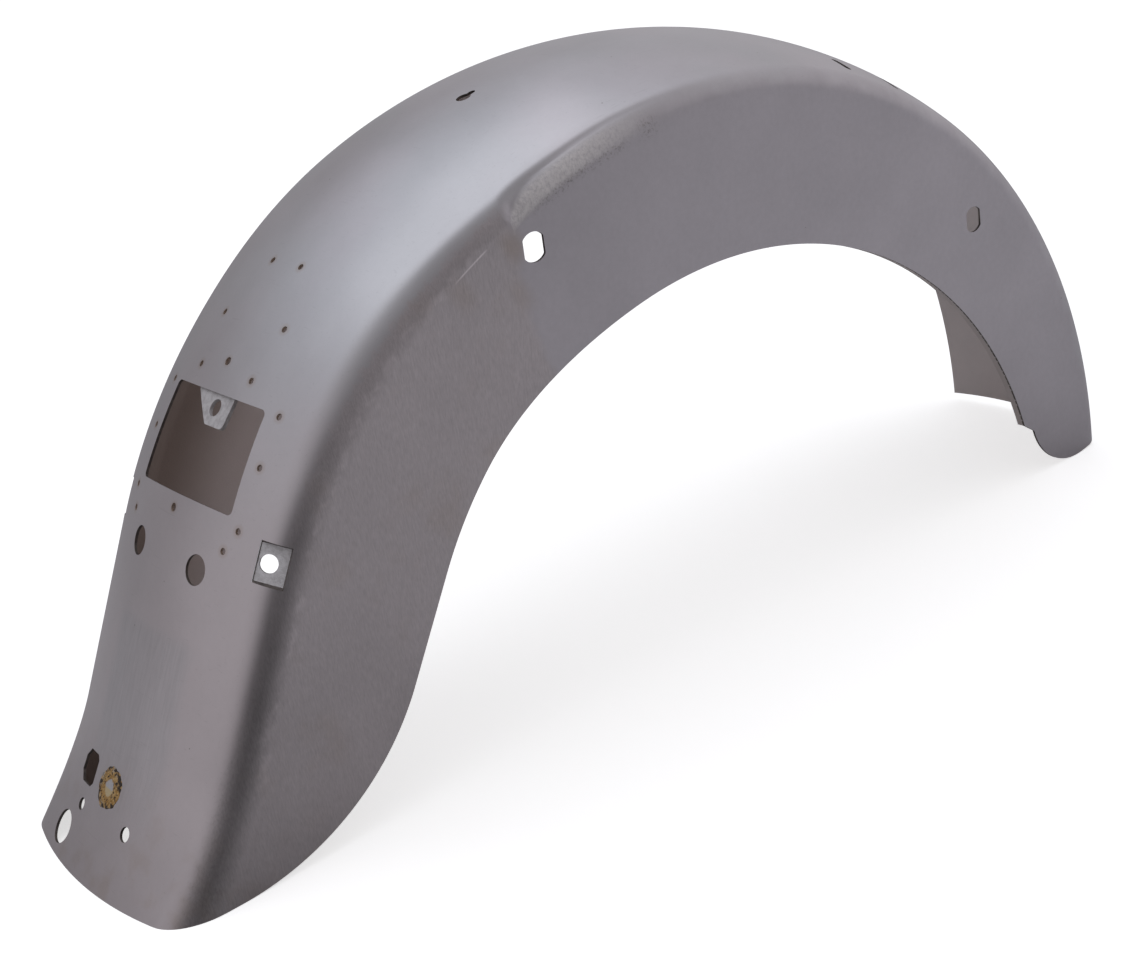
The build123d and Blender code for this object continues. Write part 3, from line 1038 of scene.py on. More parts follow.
class Nodes:
    """Short hand for building one node tree."""

    def __init__(self, tree: bpy.types.NodeTree) -> None:
        """Empty the tree and keep it."""
        self.tree = tree
        tree.nodes.clear()

    def add(self, kind: str, inputs: dict | None = None, **settings) -> bpy.types.Node:
        """Add a node, set its options, and set or link its inputs.

        Args:
            kind: The node's type, without its prefix.
            inputs: Values or output sockets by input name or number.
            **settings: Options of the node.

        Returns:
            The new node.
        """
        node = self.tree.nodes.new("ShaderNode" + kind)
        for option, value in settings.items():
            setattr(node, option, value)
        for key, value in (inputs or {}).items():
            socket = node.inputs[key]
            if isinstance(value, Socket):
                self.tree.links.new(value, socket)
            else:
                socket.default_value = value
        return node

    def math(self, operation: str, first: Value, second: Value = 0.0, third: Value = 0.0) -> Socket:
        """Output of a Math node."""
        return self.add("Math", {0: first, 1: second, 2: third}, operation=operation).outputs[0]

    def times(self, first: Value, second: Value) -> Socket:
        """Product of two values."""
        return self.math("MULTIPLY", first, second)

    def swing(self, value: Socket, amount: float) -> Socket:
        """Pattern from 0 to 1 turned into a swing of a given width about zero."""
        return self.math("MULTIPLY_ADD", value, amount, -0.5 * amount)

    def fold(self, operation: str, values: list[Value]) -> Socket:
        """Several values joined one after another by the same operation.

        Args:
            operation: The operation of the Math nodes.
            values: The values, in order.

        Returns:
            The joined value.
        """
        joined = values[0]
        for value in values[1:]:
            joined = self.math(operation, joined, value)
        return joined

    def vector(self, operation: str, first: Socket, second: Tone = (0.0, 0.0, 0.0)) -> Socket:
        """Value that a Vector Math node gives, such as a length or a dot product."""
        return self.add("VectorMath", {0: first, 1: second}, operation=operation).outputs["Value"]

    def ramp(
        self, value: Value, low: float, high: float, out_low: float = 0.0, out_high: float = 1.0
    ) -> Socket:
        """Smooth step of a value between two limits."""
        inputs = {"Value": value, "From Min": low, "From Max": high, "To Min": out_low, "To Max": out_high}
        return self.add("MapRange", inputs, interpolation_type="SMOOTHSTEP").outputs["Result"]

    def mix(self, share: Value, first: Tone, second: Tone) -> Socket:
        """Blend of two colours.

        Args:
            share: How much of the second colour shows, from 0 to 1.
            first: The first colour.
            second: The second colour.

        Returns:
            The blended colour.
        """
        node = self.add("Mix", {"Factor": share}, data_type="RGBA")
        for socket, value in ((node.inputs[6], first), (node.inputs[7], second)):
            if isinstance(value, Socket):
                self.tree.links.new(value, socket)
            else:
                socket.default_value = (*value, 1.0)
        return node.outputs[2]

    def place(self, label: str) -> Socket:
        """Value of one of the shell's surface attributes."""
        return self.add("Attribute", attribute_name=label).outputs["Fac"]

    def band(self, value: Value, low: float, high: float, soft: float) -> Socket:
        """Mask that is 1 between two limits and fades over a soft margin on both sides."""
        rise = self.ramp(value, low - soft, low + soft)
        return self.times(rise, self.ramp(value, high - soft, high + soft, 1.0, 0.0))

    def scaled(self, tone: Socket, factor: Socket) -> Socket:
        """Colour times a value."""
        grey = self.add("CombineXYZ", {0: factor, 1: factor, 2: factor}).outputs[0]
        return self.add("VectorMath", {0: tone, 1: grey}, operation="MULTIPLY").outputs[0]

    def nearest(self, place: Socket, spots: np.ndarray) -> Socket:
        """Distance in metres to the nearest of some places given in millimetres."""
        return self.fold("MINIMUM", [self.vector("DISTANCE", place, tuple(spot * MM)) for spot in spots])

    def specks(self, vector: Socket, scale: float, size: float, share: float) -> Socket:
        """Scattered dots: the cores of some of the cells of a Voronoi pattern.

        Args:
            vector: Object coordinates.
            scale: Cells a metre.
            size: Radius of a dot, as a share of a cell.
            share: Share of the cells that hold a dot.

        Returns:
            Values from 0 to 1.
        """
        cells = self.add("TexVoronoi", {"Vector": vector, "Scale": scale}).outputs
        dots = self.ramp(cells["Distance"], size, 0.5 * size)
        pick = self.add("SeparateXYZ", {0: cells["Color"]}).outputs["X"]
        return self.times(dots, self.math("LESS_THAN", pick, share))

    def noise(self, vector: Socket, scale: float, detail: float = 3.0, rough: float = 0.5) -> Socket:
        """Value of a noise pattern."""
        inputs = {"Vector": vector, "Scale": scale, "Detail": detail, "Roughness": rough}
        return self.add("TexNoise", inputs).outputs["Fac"]

    def streaks(
        self, vector: Socket, scale: tuple, turn: tuple = (0.0, 0.0, 0.0), detail: float = 1.0,
        rough: float = 0.5,
    ) -> Socket:
        """Noise drawn out into streaks: the pattern is turned, then scaled on each axis.

        Args:
            vector: Object coordinates.
            scale: Scale on each axis; the streaks run along the smallest.
            turn: Rotation in radians.
            detail: Detail of the noise.
            rough: Roughness of the noise.

        Returns:
            Values from 0 to 1.
        """
        inputs = {"Vector": vector, "Rotation": turn, "Scale": scale}
        return self.noise(self.add("Mapping", inputs).outputs[0], 1.0, detail, rough)

    def bump(self, height: Socket, strength: float, distance: float = 0.0004) -> Socket:
        """Normal roughened by a height pattern; the distance is in metres."""
        inputs = {"Strength": strength, "Distance": distance, "Height": height}
        return self.add("Bump", inputs).outputs[0]

    def surface(self, tone: Tone, metal: Value, rough: Value, normal: Socket | None = None) -> None:
        """Close the tree with one shader.

        Args:
            tone: Base colour.
            metal: Share of metal.
            rough: Roughness.
            normal: Normal of a bump, if there is one.
        """
        inputs = {"Base Color": tone, "Metallic": metal, "Roughness": rough}
        if normal is not None:
            inputs["Normal"] = normal
        self.add("OutputMaterial", {"Surface": self.add("BsdfPrincipled", inputs).outputs[0]})


def start_finish(name: str) -> tuple[bpy.types.Material, Nodes, Socket]:
    """Start a finish.

    Args:
        name: The material's name.

    Returns:
        The new material, its empty node tree and the Object coordinates in it.
    """
    made = bpy.data.materials.new(name)
    made.use_nodes = True
    n = Nodes(made.node_tree)
    return made, n, n.add("TexCoord").outputs["Object"]


@dataclass(frozen=True)
class RawSteel:
    """Bare sheet steel: smooth on the crown, sanded and slightly browned on the rear sides.

    Areas are given in metres along the crown, down from it and across it, or as a place on the
    ledge's bevel. Two values say where an area begins and where it is full. With a third, the
    first two are its limits and the third is how softly it ends. Lights say how much an area
    lightens the tone; the scuff's is worn metal, and the tail's and the rear roll's darkening is
    painted shade.
    """

    crown: tuple = (0.565, 0.54, 0.57)
    cool: tuple = (0.535, 0.53, 0.555)
    warm: tuple = (0.575, 0.53, 0.55)
    side: tuple = (0.51, 0.482, 0.515)
    sanded: tuple = (0.535, 0.493, 0.51)
    bevel: tuple = (0.82, 0.79, 0.795)
    stain: tuple = (0.42, 0.335, 0.275)
    # dark colour for dirt specks, and for painted shade along the bevel's foot
    dirt_and_shade: tuple = (0.16, 0.13, 0.115)
    side_down: tuple = (0.020, 0.032)
    side_ragged: float = 0.014
    sanded_down: tuple = (0.0205, 0.0245)
    sanded_fuzz: float = 0.008
    sanded_rise: tuple = ((0.16, 0.40, 0.0, 0.004), (0.40, 0.55, 0.0, 0.006))
    sanded_along: tuple = (0.136, 0.146)
    sanded_lean: float = -0.36
    scuff_down: tuple = (0.0275, 0.0315, 0.002)
    scuff_along: tuple = (0.160, 0.49, 0.01)
    score_down: tuple = (0.0322, 0.0330, 0.0003)
    score_along: tuple = (0.169, 0.192, 0.004)
    score_gain: float = 3.0
    bevel_place: tuple = (0.16, 0.88, 0.16)
    bevel_front: tuple = (0.02, 0.10)
    bevel_rear: tuple = (0.142, 0.152)
    foot_place: tuple = (0.84, 1.15, 0.10)
    foot_along: tuple = (0.060, 0.128, 0.01)
    upper_place: tuple = (0.5, 1.2, 0.08)
    upper_along: tuple = (0.034, 0.046, 0.005)
    stain_places: tuple = ((0.1535, 0.042, 1.0), (0.195, 0.040, 0.5), (0.166, 0.066, 0.5))
    stain_half: tuple = (0.006, 0.008)
    stain_soft: tuple = (0.005, 0.007)
    # painted shade: a darker band along the rear shoulder roll, standing in for a dark reflection
    painted_roll_shade_down: tuple = (0.015, 0.027, 0.005)
    painted_roll_shade_along: tuple = (0.32, 0.43)
    ghost_start: tuple = (0.420, 0.430)
    ghost_end: tuple = (0.48, 0.55)
    ghost_across: tuple = (-0.040, 0.034, 0.006)
    ghost_cool: float = 0.4
    rear_along: tuple = (0.2, 0.45)
    tail_along: tuple = (0.47, 0.57)
    halo_reach: tuple = (0.0045, 0.0022)
    sanded_rust: float = 0.20
    brown_rust: float = 0.45
    tail_rust: float = 0.30
    halo_rust: float = 0.30
    ledge_dirt_and_shade: float = 0.5
    speck_dirt: float = 0.55
    grain_light: float = 0.42
    mottle_light: float = 0.28
    haze_light: float = 0.16
    hair_light: float = -0.06
    # the scuff lightens worn metal; the tail and the rear roll are darkened as painted shade
    area_lights: tuple = (("scuff", 0.17), ("tail", -0.17), ("painted_roll_shade", -0.24))
    sanded_matt: float = 0.14
    bevel_matt: float = 0.5
    crown_rough: float = 0.35
    side_rough: float = 0.45
    sanded_rough: float = 0.49
    mottle_rough: float = 0.10

    def zones(self, n: Nodes, place: Socket) -> dict[str, Socket]:
        """Masks of the areas that differ in finish.

        Args:
            n: The material's nodes.
            place: Object coordinates.

        Returns:
            Values from 0 to 1 by area: side, sanded, scuff, bevel, its dirt with painted shade along the
                foot,
            brown stains, painted shade on the roll, ghost of an old plate, rear and tail.
        """
        along, across, down, bevel = (n.place(label) for label in ("along", "across", "down", "bevel"))
        ragged = n.swing(n.noise(place, 70.0, 4.0, 0.6), self.side_ragged)
        level = n.math("ADD", down, ragged)
        rise = n.fold("ADD", [n.ramp(along, *step) for step in self.sanded_rise])
        fuzz = n.swing(n.noise(place, 220.0, 3.0, 0.65), self.sanded_fuzz)
        worn = n.ramp(n.fold("ADD", [down, rise, fuzz]), *self.sanded_down)
        front = n.math("ADD", n.math("MULTIPLY_ADD", down, self.sanded_lean, along), ragged)
        scuff = n.times(n.band(level, *self.scuff_down), n.band(along, *self.scuff_along))
        scuff = n.times(scuff, n.ramp(n.noise(place, 120.0, 3.0), 0.42, 0.62))
        score = n.times(n.band(down, *self.score_down), n.band(along, *self.score_along))
        on_bevel = n.times(n.band(bevel, *self.bevel_place), n.ramp(along, *self.bevel_front))
        # the bevel's foot, and a short stretch of the bevel further forward, darken in specks: partly dirt,
        # partly painted shade in the crease
        foot = n.times(n.band(bevel, *self.foot_place), n.band(along, *self.foot_along))
        upper = n.times(n.band(bevel, *self.upper_place), n.band(along, *self.upper_along))
        grime = n.ramp(n.noise(place, 700.0, 3.0, 0.7), 0.48, 0.68)
        spots = []
        for middle, depth, strength in self.stain_places:
            (half, tall), (soft, soft_tall) = self.stain_half, self.stain_soft
            length = n.band(along, middle - half, middle + half, soft)
            height = n.band(down, depth - tall, depth + tall, soft_tall)
            spots.append(n.times(n.times(length, height), strength))
        ghost = n.times(n.ramp(along, *self.ghost_start), n.ramp(along, *self.ghost_end, 1.0, 0.0))
        return {
            "side": n.ramp(level, *self.side_down),
            "sanded": n.times(worn, n.ramp(front, *self.sanded_along)),
            "scuff": n.math("MAXIMUM", scuff, n.times(score, self.score_gain)),
            "bevel": n.times(on_bevel, n.ramp(along, *self.bevel_rear, 1.0, 0.0)),
            "dirt_and_shade": n.times(n.math("MAXIMUM", foot, upper), grime),
            "brown": n.fold("MAXIMUM", spots),
            # painted shade on the rear shoulder roll
            "painted_roll_shade": n.times(n.band(down, *self.painted_roll_shade_down), n.ramp(along, *self.painted_roll_shade_along)),
            "ghost": n.times(ghost, n.band(across, *self.ghost_across)),
            "rear": n.ramp(along, *self.rear_along),
            "tail": n.ramp(along, *self.tail_along),
        }

    def tone(
        self, n: Nodes, place: Socket, zone: dict, holes: np.ndarray
    ) -> Socket:
        """Colour before the lights: steel by area, then pale bevel, rust, and dirt with painted shade along
        the bevel's foot over it.

        Args:
            n: The material's nodes.
            place: Object coordinates.
            zone: Masks by area.
            holes: Middles of the small trim holes, in millimetres.

        Returns:
            The colour.
        """
        tone = n.mix(n.ramp(n.noise(place, 9.0, 3.0), 0.35, 0.65), self.crown, self.cool)
        tone = n.mix(zone["rear"], tone, self.warm)
        tone = n.mix(n.times(zone["ghost"], self.ghost_cool), tone, self.cool)
        tone = n.mix(zone["side"], tone, self.side)
        tone = n.mix(zone["sanded"], tone, self.sanded)
        speckle = n.ramp(n.noise(place, 500.0, 3.0, 0.7), 0.3, 0.6, 0.45, 0.95)
        tone = n.mix(n.times(zone["bevel"], speckle), tone, self.bevel)
        sanded = n.times(zone["sanded"], n.ramp(n.noise(place, 30.0, 4.0, 0.6), 0.52, 0.78))
        tail = n.times(zone["tail"], n.ramp(n.noise(place, 55.0, 3.0), 0.48, 0.72))
        halo = n.ramp(n.nearest(place, holes), *self.halo_reach)
        rusty = n.fold("MAXIMUM", [
            n.times(sanded, self.sanded_rust), n.times(zone["brown"], self.brown_rust),
            n.times(tail, self.tail_rust), n.times(halo, self.halo_rust),
        ])
        tone = n.mix(rusty, tone, self.stain)
        clean = n.math("SUBTRACT", 1.0, zone["sanded"])
        dots = n.times(n.specks(place, 75.0, 0.045, 0.16), clean)
        # dirt specks on clean steel, and dirt with painted shade along the bevel's foot
        dirt_and_shade_share = n.math("MAXIMUM", n.times(zone["dirt_and_shade"], self.ledge_dirt_and_shade), n.times(dots, self.speck_dirt))
        return n.mix(dirt_and_shade_share, tone, self.dirt_and_shade)

    def material(self, name: str, holes: np.ndarray) -> bpy.types.Material:
        """Make the finish.

        Args:
            name: The material's name.
            holes: Middles of the small trim holes, in millimetres.

        Returns:
            The new material.
        """
        made, n, place = start_finish(name)
        zone = self.zones(n, place)
        mottle = n.noise(place, 16.0, 4.0)
        fine = n.noise(place, 1100.0, 2.0)
        hair = n.ramp(n.streaks(place, (16.0, 900.0, 900.0), (0.0, 0.5, 0.3)), 0.70, 0.74)
        crossed = n.streaks(place, (900.0, 20.0, 900.0), (0.9, 0.2, -0.6))
        hair = n.math("ADD", hair, n.ramp(crossed, 0.71, 0.75))
        hair = n.times(hair, n.math("SUBTRACT", 1.0, zone["side"]))
        brush = n.streaks(place, (1200.0, 1200.0, 220.0), detail=3.0, rough=0.6)
        drawn = n.streaks(place, (60.0, 700.0, 60.0), detail=2.0, rough=0.6)
        rubbed = n.math("MAXIMUM", zone["sanded"], zone["bevel"])
        grain = n.times(n.math("SUBTRACT", brush, 0.5), rubbed)
        haze = n.swing(n.noise(place, 260.0, 4.0, 0.7), self.haze_light)
        light = n.math("MULTIPLY_ADD", grain, self.grain_light, 1.0)
        light = n.math("ADD", light, n.swing(mottle, self.mottle_light))
        light = n.math("MULTIPLY_ADD", haze, n.math("MULTIPLY_ADD", zone["side"], 0.6, 0.4), light)
        # scuff wear lightens, and the tail and the rear roll take painted shade
        for area, gain in self.area_lights:
            light = n.math("MULTIPLY_ADD", zone[area], gain, light)
        light = n.math("MULTIPLY_ADD", hair, self.hair_light, light)
        light = n.math("MULTIPLY_ADD", n.math("MULTIPLY_ADD", drawn, 0.24, -0.17), zone["ghost"], light)
        rough = n.math("MULTIPLY_ADD", zone["side"], self.side_rough - self.crown_rough, self.crown_rough)
        rough = n.math("MULTIPLY_ADD", rubbed, self.sanded_rough - self.side_rough, rough)
        rough = n.math("ADD", rough, n.swing(mottle, self.mottle_rough))
        metal = n.math("MULTIPLY_ADD", zone["sanded"], -self.sanded_matt, 1.0)
        metal = n.math("MULTIPLY_ADD", zone["bevel"], -self.bevel_matt, metal)
        height = n.math("MULTIPLY_ADD", grain, 2.0, n.times(fine, 0.3))
        tone = n.scaled(self.tone(n, place, zone, holes), light)
        n.surface(tone, metal, rough, n.bump(height, 0.10))
        return made


@dataclass(frozen=True)
class InnerSteel:
    """Inside of the shell: brownish sheet, lighter at the front and down the sides as painted light, darker
    under the rear as painted shade.
    """

    front: tuple = (0.69, 0.625, 0.615)
    rear: tuple = (0.335, 0.262, 0.232)
    foot: tuple = (0.61, 0.52, 0.50)
    foot_down: tuple = (0.036, 0.085)
    rear_along: tuple = (0.05, 0.25)
    rough: float = 0.5
    metal: float = 0.75
    grit: float = 0.15

    def material(self, name: str) -> bpy.types.Material:
        """Make the finish.

        Args:
            name: The material's name.

        Returns:
            The new material.
        """
        made, n, place = start_finish(name)
        mottle = n.noise(place, 50.0, 4.0, 0.6)
        # painted light and shade: lighter towards the arch and the front, darker under the rear crown
        tone = n.mix(n.ramp(n.place("down"), *self.foot_down), self.rear, self.foot)
        tone = n.mix(n.ramp(n.place("along"), *self.rear_along), self.front, tone)
        tone = n.scaled(tone, n.math("MULTIPLY_ADD", mottle, 0.22, 0.89))
        rough = n.math("MULTIPLY_ADD", mottle, 0.16, self.rough - 0.08)
        n.surface(tone, self.metal, rough, n.bump(n.noise(place, 1400.0, 2.0), self.grit))
        return made


@dataclass(frozen=True)
class CutEdgeAndWallShade:
    """Sheared edges of the sheet: dark, and tan with rust inside the small holes; the dark finish also lies
    on the pads' walls as painted shade.
    """

    dark: tuple = (0.20, 0.175, 0.16)
    black: tuple = (0.10, 0.085, 0.08)
    tan: tuple = (0.52, 0.42, 0.35)
    tan_reach: tuple = (0.0042, 0.0030)
    rough: float = 0.5
    metal: float = 0.6

    def material(self, name: str, holes: np.ndarray) -> bpy.types.Material:
        """Make the finish.

        Args:
            name: The material's name.
            holes: Middles of the small trim holes, in millimetres.

        Returns:
            The new material.
        """
        made, n, place = start_finish(name)
        mottle = n.noise(place, 160.0, 4.0, 0.6)
        tone = n.mix(n.ramp(mottle, 0.35, 0.65), self.dark, self.black)
        tone = n.mix(n.ramp(n.nearest(place, holes), *self.tan_reach), tone, self.tan)
        tone = n.scaled(tone, n.math("MULTIPLY_ADD", mottle, 0.4, 0.8))
        rough = n.math("MULTIPLY_ADD", mottle, 0.2, self.rough - 0.1)
        n.surface(tone, self.metal, rough)
        return made


@dataclass(frozen=True)
class PlainSteel:
    """Steel of one tone, mottled: pads and the tab."""

    tone: tuple
    shade: tuple
    rough: float
    metal: float = 1.0
    scale: float = 60.0
    grit: float = 0.15

    def material(self, name: str) -> bpy.types.Material:
        """Make the finish.

        Args:
            name: The material's name.

        Returns:
            The new material.
        """
        made, n, place = start_finish(name)
        mottle = n.noise(place, self.scale, 4.0, 0.6)
        tone = n.mix(n.ramp(mottle, 0.35, 0.7), self.tone, self.shade)
        rough = n.math("MULTIPLY_ADD", mottle, 0.16, self.rough - 0.08)
        n.surface(tone, self.metal, rough, n.bump(n.noise(place, 1400.0, 2.0), self.grit))
        return made


@dataclass(frozen=True)
class Braze:
    """Brass filler round a grey core, with burnt flux."""

    brass: tuple = (0.40, 0.215, 0.055)
    pale: tuple = (0.62, 0.415, 0.175)
    core: tuple = (0.52, 0.51, 0.53)
    tan: tuple = (0.62, 0.50, 0.30)
    crust: tuple = (0.04, 0.027, 0.018)
    ash: tuple = (0.42, 0.40, 0.37)
    core_reach: tuple = (0.0048, 0.0038)
    rim_reach: tuple = (0.0078, 0.0112)
    ragged: float = 0.004

    def material(self, name: str, pose: Pose) -> bpy.types.Material:
        """Make the finish.

        Args:
            name: The material's name.
            pose: Middle of the plug and its directions, in millimetres.

        Returns:
            The new material.
        """
        made, n, place = start_finish(name)
        local = n.add("VectorMath", {0: place, 1: tuple(pose.origin * MM)}, operation="SUBTRACT").outputs[0]
        rearward = n.vector("DOT_PRODUCT", local, tuple(pose.y))
        reach = n.vector("LENGTH", local)
        lumps = n.noise(place, 420.0, 4.0, 0.65)
        reach = n.math("ADD", reach, n.swing(lumps, self.ragged))
        centre = n.ramp(reach, *self.core_reach)
        rim = n.ramp(reach, *self.rim_reach)
        burnt = n.math("MULTIPLY_ADD", rim, 0.08, n.noise(place, 360.0, 4.0, 0.65))
        flux = n.times(n.ramp(burnt, 0.50, 0.60), n.math("SUBTRACT", 1.0, centre))
        grey = n.times(rim, n.ramp(n.noise(place, 240.0, 3.0), 0.5, 0.6))
        tone = n.mix(n.ramp(lumps, 0.4, 0.65), self.brass, self.pale)
        tone = n.mix(grey, tone, self.ash)
        tone = n.mix(flux, tone, self.crust)
        tone = n.mix(centre, tone, n.mix(n.ramp(rearward, -0.0002, 0.001), self.core, self.tan))
        metal = n.math("MULTIPLY_ADD", flux, -0.5, 0.55)
        rough = n.math("MULTIPLY_ADD", flux, 0.3, 0.42)
        n.surface(tone, metal, rough, n.bump(lumps, 0.7, 0.0006))
        return made


@dataclass
class BrazePlug:
    """Brazed repair in the tail: a lumpy bead round a plug."""

    distance: float = 513.5
    lateral: float = 3.5
    rim: float = 12.5
    bore: float = 5.95
    rise: float = 0.8
    sheet: float = 1.5
    waves: tuple = ((0.05, 2, 0.7), (0.025, 5, 2.1), (0.02, 11, 0.0))
    rings: int = 40
    spokes: int = 96

    def build(self, form: FenderForm, name: str) -> bpy.types.Object:
        """Make the bead: its height is a bell-shaped ring with sine lumps, and it is closed below.

        Args:
            form: The pressed form that it sits on.
            name: The object's name.

        Returns:
            The new object, in the scene.
        """
        pose = form.tangent(self.distance, self.lateral)
        share = np.linspace(0.0, 1.0, self.rings)[:, None]
        turn = np.linspace(0.0, 2 * math.pi, self.spokes, endpoint=False)[None]
        wave = sum(swell * np.sin(times * turn + start) for swell, times, start in self.waves)
        radius = self.rim * share * (0.93 + wave * share)
        x, y = radius * np.cos(turn), radius * np.sin(turn)
        ring = np.exp(-(((share - 0.68) / 0.22) ** 2)) * np.ones_like(turn)
        lumps = 0.5 + 0.3 * np.sin(1.9 * x + 0.6) * np.cos(1.6 * y) + 0.2 * np.sin(3.1 * x - 2.7 * y + 1.0)
        height = self.rise * (0.35 * (1 - share) + ring * lumps)
        flat = pose.put(np.stack([x, y, np.zeros_like(x)], -1))
        for _ in range(6):
            flat = flat - form.gap(flat)[..., None] * pose.z
        top = flat + (height * (1 - share**6))[..., None] * pose.z
        bottom_radius = np.minimum(radius, self.bore)
        low = np.full_like(x, -self.sheet)
        bottom = np.stack([bottom_radius * np.cos(turn), bottom_radius * np.sin(turn), low], -1)
        bottom = pose.put(bottom)
        points = np.concatenate([top.reshape(-1, 3), bottom.reshape(-1, 3)])
        index = np.arange(self.rings * self.spokes).reshape(self.rings, self.spokes)
        deep = index + self.rings * self.spokes
        beside, beside_deep = np.roll(index, -1, axis=1), np.roll(deep, -1, axis=1)
        upper = np.stack([index[:-1], index[1:], beside[1:], beside[:-1]], -1).reshape(-1, 4)
        lower = np.stack([deep[:-1], beside_deep[:-1], beside_deep[1:], deep[1:]], -1).reshape(-1, 4)
        rim = np.stack([index[-1], deep[-1], beside_deep[-1], beside[-1]], -1)
        bead = Patch(points, list(np.concatenate([upper, lower, rim])))
        made = bpy.data.objects.new(name, bead.mesh(name))
        bpy.context.scene.collection.objects.link(made)
        made.data.polygons.foreach_set("use_smooth", np.ones(len(made.data.polygons), bool))
        return made


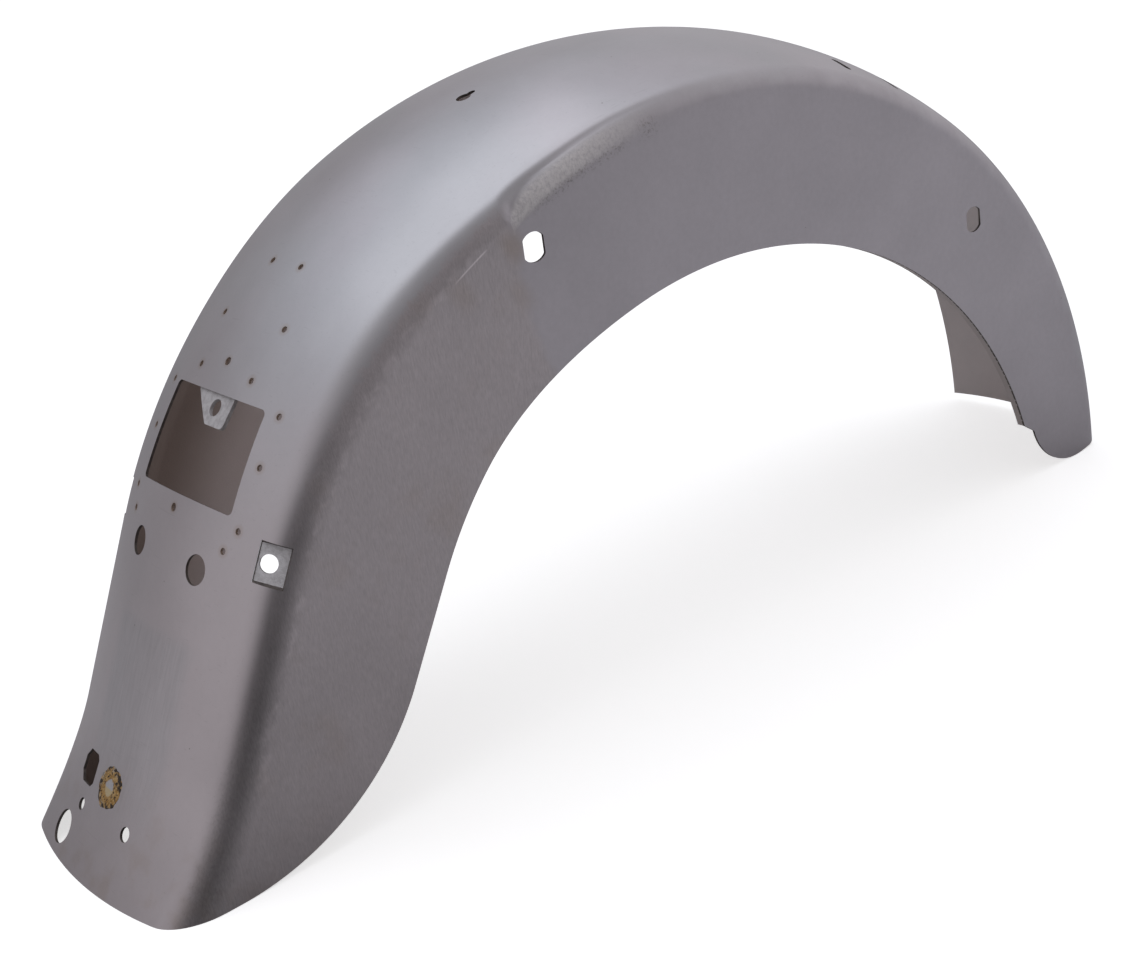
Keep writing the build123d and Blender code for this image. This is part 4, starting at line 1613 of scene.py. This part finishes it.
@dataclass
class Studio:
    """Pale floor, soft light from above and the camera."""

    floor_half: float = 30.0
    floor_tone: tuple = (0.82, 0.82, 0.82)
    floor_painted_shade: tuple = (0.08, 0.08, 0.08)
    floor_lift: float = 0.64
    metal_share: float = 0.05
    dark_side: tuple = (-0.61, -0.78)
    overhead: tuple = (-0.05, 0.34, 0.94)
    far_wall: tuple = (-0.1, 0.99, -0.1)
    lamp_size: tuple = (1.8, 1.4)
    lamp_place: tuple = (-0.15, 0.25, 1.9)
    lamp_energy: float = 3.0
    camera_place: tuple = (-604.728, -810.283, 508.155)
    camera_right: tuple = (0.76867538, -0.62242123, -0.14741093)
    camera_down: tuple = (-0.3495099, -0.21569864, -0.91176583)
    camera_ahead: tuple = (0.53570607, 0.75237352, -0.38334462)
    lens: float = 56.793
    film: float = 36.0

    def floor(self) -> None:
        """Lay the floor: pale to the camera, with the soft shadow; to other rays it darkens near and behind
        the fender and towards the camera's side, as painted shadow and shade that the metal mirrors.
        """
        s = self.floor_half
        mesh = bpy.data.meshes.new("floor")
        mesh.from_pydata([(-s, -s, 0), (s, -s, 0), (s, s, 0), (-s, s, 0)], [], [(0, 1, 2, 3)])
        made = bpy.data.objects.new("floor", mesh)
        bpy.context.scene.collection.objects.link(made)
        material = bpy.data.materials.new("floor")
        material.use_nodes = True
        n = Nodes(material.node_tree)
        path = n.add("LightPath").outputs
        seen = n.math("ADD", path["Is Camera Ray"], path["Is Transmission Ray"])
        seen = n.math("MULTIPLY_ADD", path["Is Glossy Ray"], self.metal_share, seen)
        lift = n.times(seen, self.floor_lift)
        place = n.add("TexCoord").outputs["Object"]
        # painted shadow and shade for all but camera rays: darker towards the camera's side, near the fender
        # and behind it
        out = n.vector("DOT_PRODUCT", place, (*self.dark_side, 0.0))
        parts = n.add("SeparateXYZ", {0: place}).outputs
        beyond = n.ramp(parts["Y"], 0.2, 0.9, 0.0, 0.45)
        near = n.math("MAXIMUM", n.ramp(parts["Y"], -0.45, -0.12, 0.0, 0.3), beyond)
        rear = n.times(n.ramp(parts["X"], 0.05, -0.6, 0.0, 0.9), n.ramp(parts["Y"], 0.2, -0.05))
        dark = n.math("MAXIMUM", n.ramp(out, 0.55, 1.1), n.math("MAXIMUM", near, rear))
        dark = n.times(dark, n.math("SUBTRACT", 1.0, path["Is Camera Ray"]))
        cloth = n.add("BsdfDiffuse", {"Color": n.mix(dark, self.floor_tone, self.floor_painted_shade)}).outputs[0]
        glow = n.add("Emission", {"Color": (1, 1, 1, 1), "Strength": lift}).outputs[0]
        both = n.add("AddShader", {0: cloth, 1: glow}).outputs[0]
        n.add("OutputMaterial", {"Surface": both})
        mesh.materials.append(material)

    def sky(self) -> None:
        """Surround of soft light: bright overhead, a panel ahead and one behind, dark round the camera."""
        world = bpy.data.worlds.new("studio")
        bpy.context.scene.world = world
        world.use_nodes = True
        n = Nodes(world.node_tree)
        ray = n.add("TexCoord").outputs["Generated"]
        parts = n.add("SeparateXYZ", {0: ray}).outputs
        high = n.vector("DOT_PRODUCT", ray, self.overhead)
        up = n.math("POWER", n.ramp(high, 0.4, 1.0), 2.2)
        ahead = n.ramp(parts["X"], 0.2, 0.9, 0.0, 0.22)
        behind = n.ramp(parts["X"], -0.45, -0.9, 0.0, 0.18)
        far = n.vector("DOT_PRODUCT", ray, self.far_wall)
        base = n.ramp(far, 0.7, 1.0, 0.35, 0.32)
        level = n.math("MULTIPLY_ADD", up, 0.40, n.math("ADD", n.math("ADD", ahead, behind), base))
        toward = n.vector("DOT_PRODUCT", ray, (*self.dark_side, -0.1))
        strength = n.times(level, n.ramp(toward, 0.66, 1.0, 1.0, 0.05))
        hue = n.mix(up, (1.015, 0.985, 1.01), (0.95, 0.985, 1.06))
        shade = n.add("Background", {"Color": hue, "Strength": strength}).outputs[0]
        n.add("OutputWorld", {"Surface": shade})

    def lamp(self) -> None:
        """Hang a broad soft lamp over the fender."""
        light = bpy.data.lights.new("softbox", "AREA")
        light.shape = "RECTANGLE"
        light.size, light.size_y = self.lamp_size
        light.energy = self.lamp_energy
        made = bpy.data.objects.new("softbox", light)
        made.location = self.lamp_place
        bpy.context.scene.collection.objects.link(made)

    def camera(self) -> None:
        """Stand the camera where the photograph was taken."""
        data = bpy.data.cameras.new("camera")
        data.sensor_fit = "HORIZONTAL"
        data.sensor_width = self.film
        data.lens = self.lens
        data.clip_start, data.clip_end = 0.01, 100.0
        made = bpy.data.objects.new("camera", data)
        right, down, ahead = (np.array(v) for v in (self.camera_right, self.camera_down, self.camera_ahead))
        turn = np.eye(4)
        turn[:3, 0], turn[:3, 1], turn[:3, 2] = right, -down, -ahead
        turn[:3, 3] = np.array(self.camera_place) * MM
        made.matrix_world = Matrix(turn.tolist())
        bpy.context.scene.collection.objects.link(made)
        bpy.context.scene.camera = made

    def build(self) -> None:
        """Set up the whole studio."""
        bpy.context.scene.view_settings.view_transform = "Standard"
        self.floor()
        self.sky()
        self.lamp()
        self.camera()


def dress(made: bpy.types.Object, finishes: list[bpy.types.Material], node: str) -> None:
    """Give a new piece its finishes and let it stand for its CAD node.

    Args:
        made: The piece.
        finishes: Its materials, in the order of its face classes.
        node: The CAD node that it replaces.
    """
    for finish in finishes:
        made.data.materials.append(finish)
    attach(made, ROOT)
    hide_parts(node)
    LOG.info("%s: %d polygons", made.name, len(made.data.polygons))


def main() -> None:
    """Build the pieces in order, dress them and set up the studio."""
    logging.basicConfig(level=logging.INFO, format="%(name)s: %(message)s")
    shell, plug = FenderShell(), BrazePlug()
    holes = shell.piercings.small_holes(shell.form)
    outer = RawSteel().material("raw_steel", holes)
    inner = InnerSteel().material("inner_steel")
    # also laid on the pads' walls as painted shade
    edge = CutEdgeAndWallShade().material("cut_edge_and_wall_shade", holes)
    zinc = PlainSteel((0.66, 0.64, 0.655), (0.50, 0.48, 0.49), 0.6, metal=0.15, scale=300.0, grit=0.5)
    zinc = zinc.material("zinc_grey")
    # the pads are pale ground steel, lifted to near white as painted light
    pad_pale_and_lit = PlainSteel((0.98, 0.96, 0.99), (0.76, 0.74, 0.76), 0.5, metal=0.0, scale=420.0, grit=0.5)
    pad_pale_and_lit = pad_pale_and_lit.material("pad_steel_painted_light")
    braze = Braze().material("braze", shell.form.tangent(plug.distance, plug.lateral))
    dress(shell.build("fender_skin"), [outer, inner, edge, pad_pale_and_lit], "fender_shell")
    dress(plug.build(shell.form, "braze_bead"), [braze], "braze_plug")
    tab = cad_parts["lamp_tab"]
    tab.data.materials.clear()
    tab.data.materials.append(zinc)
    Studio().build()


if __name__ == "__main__":
    main()
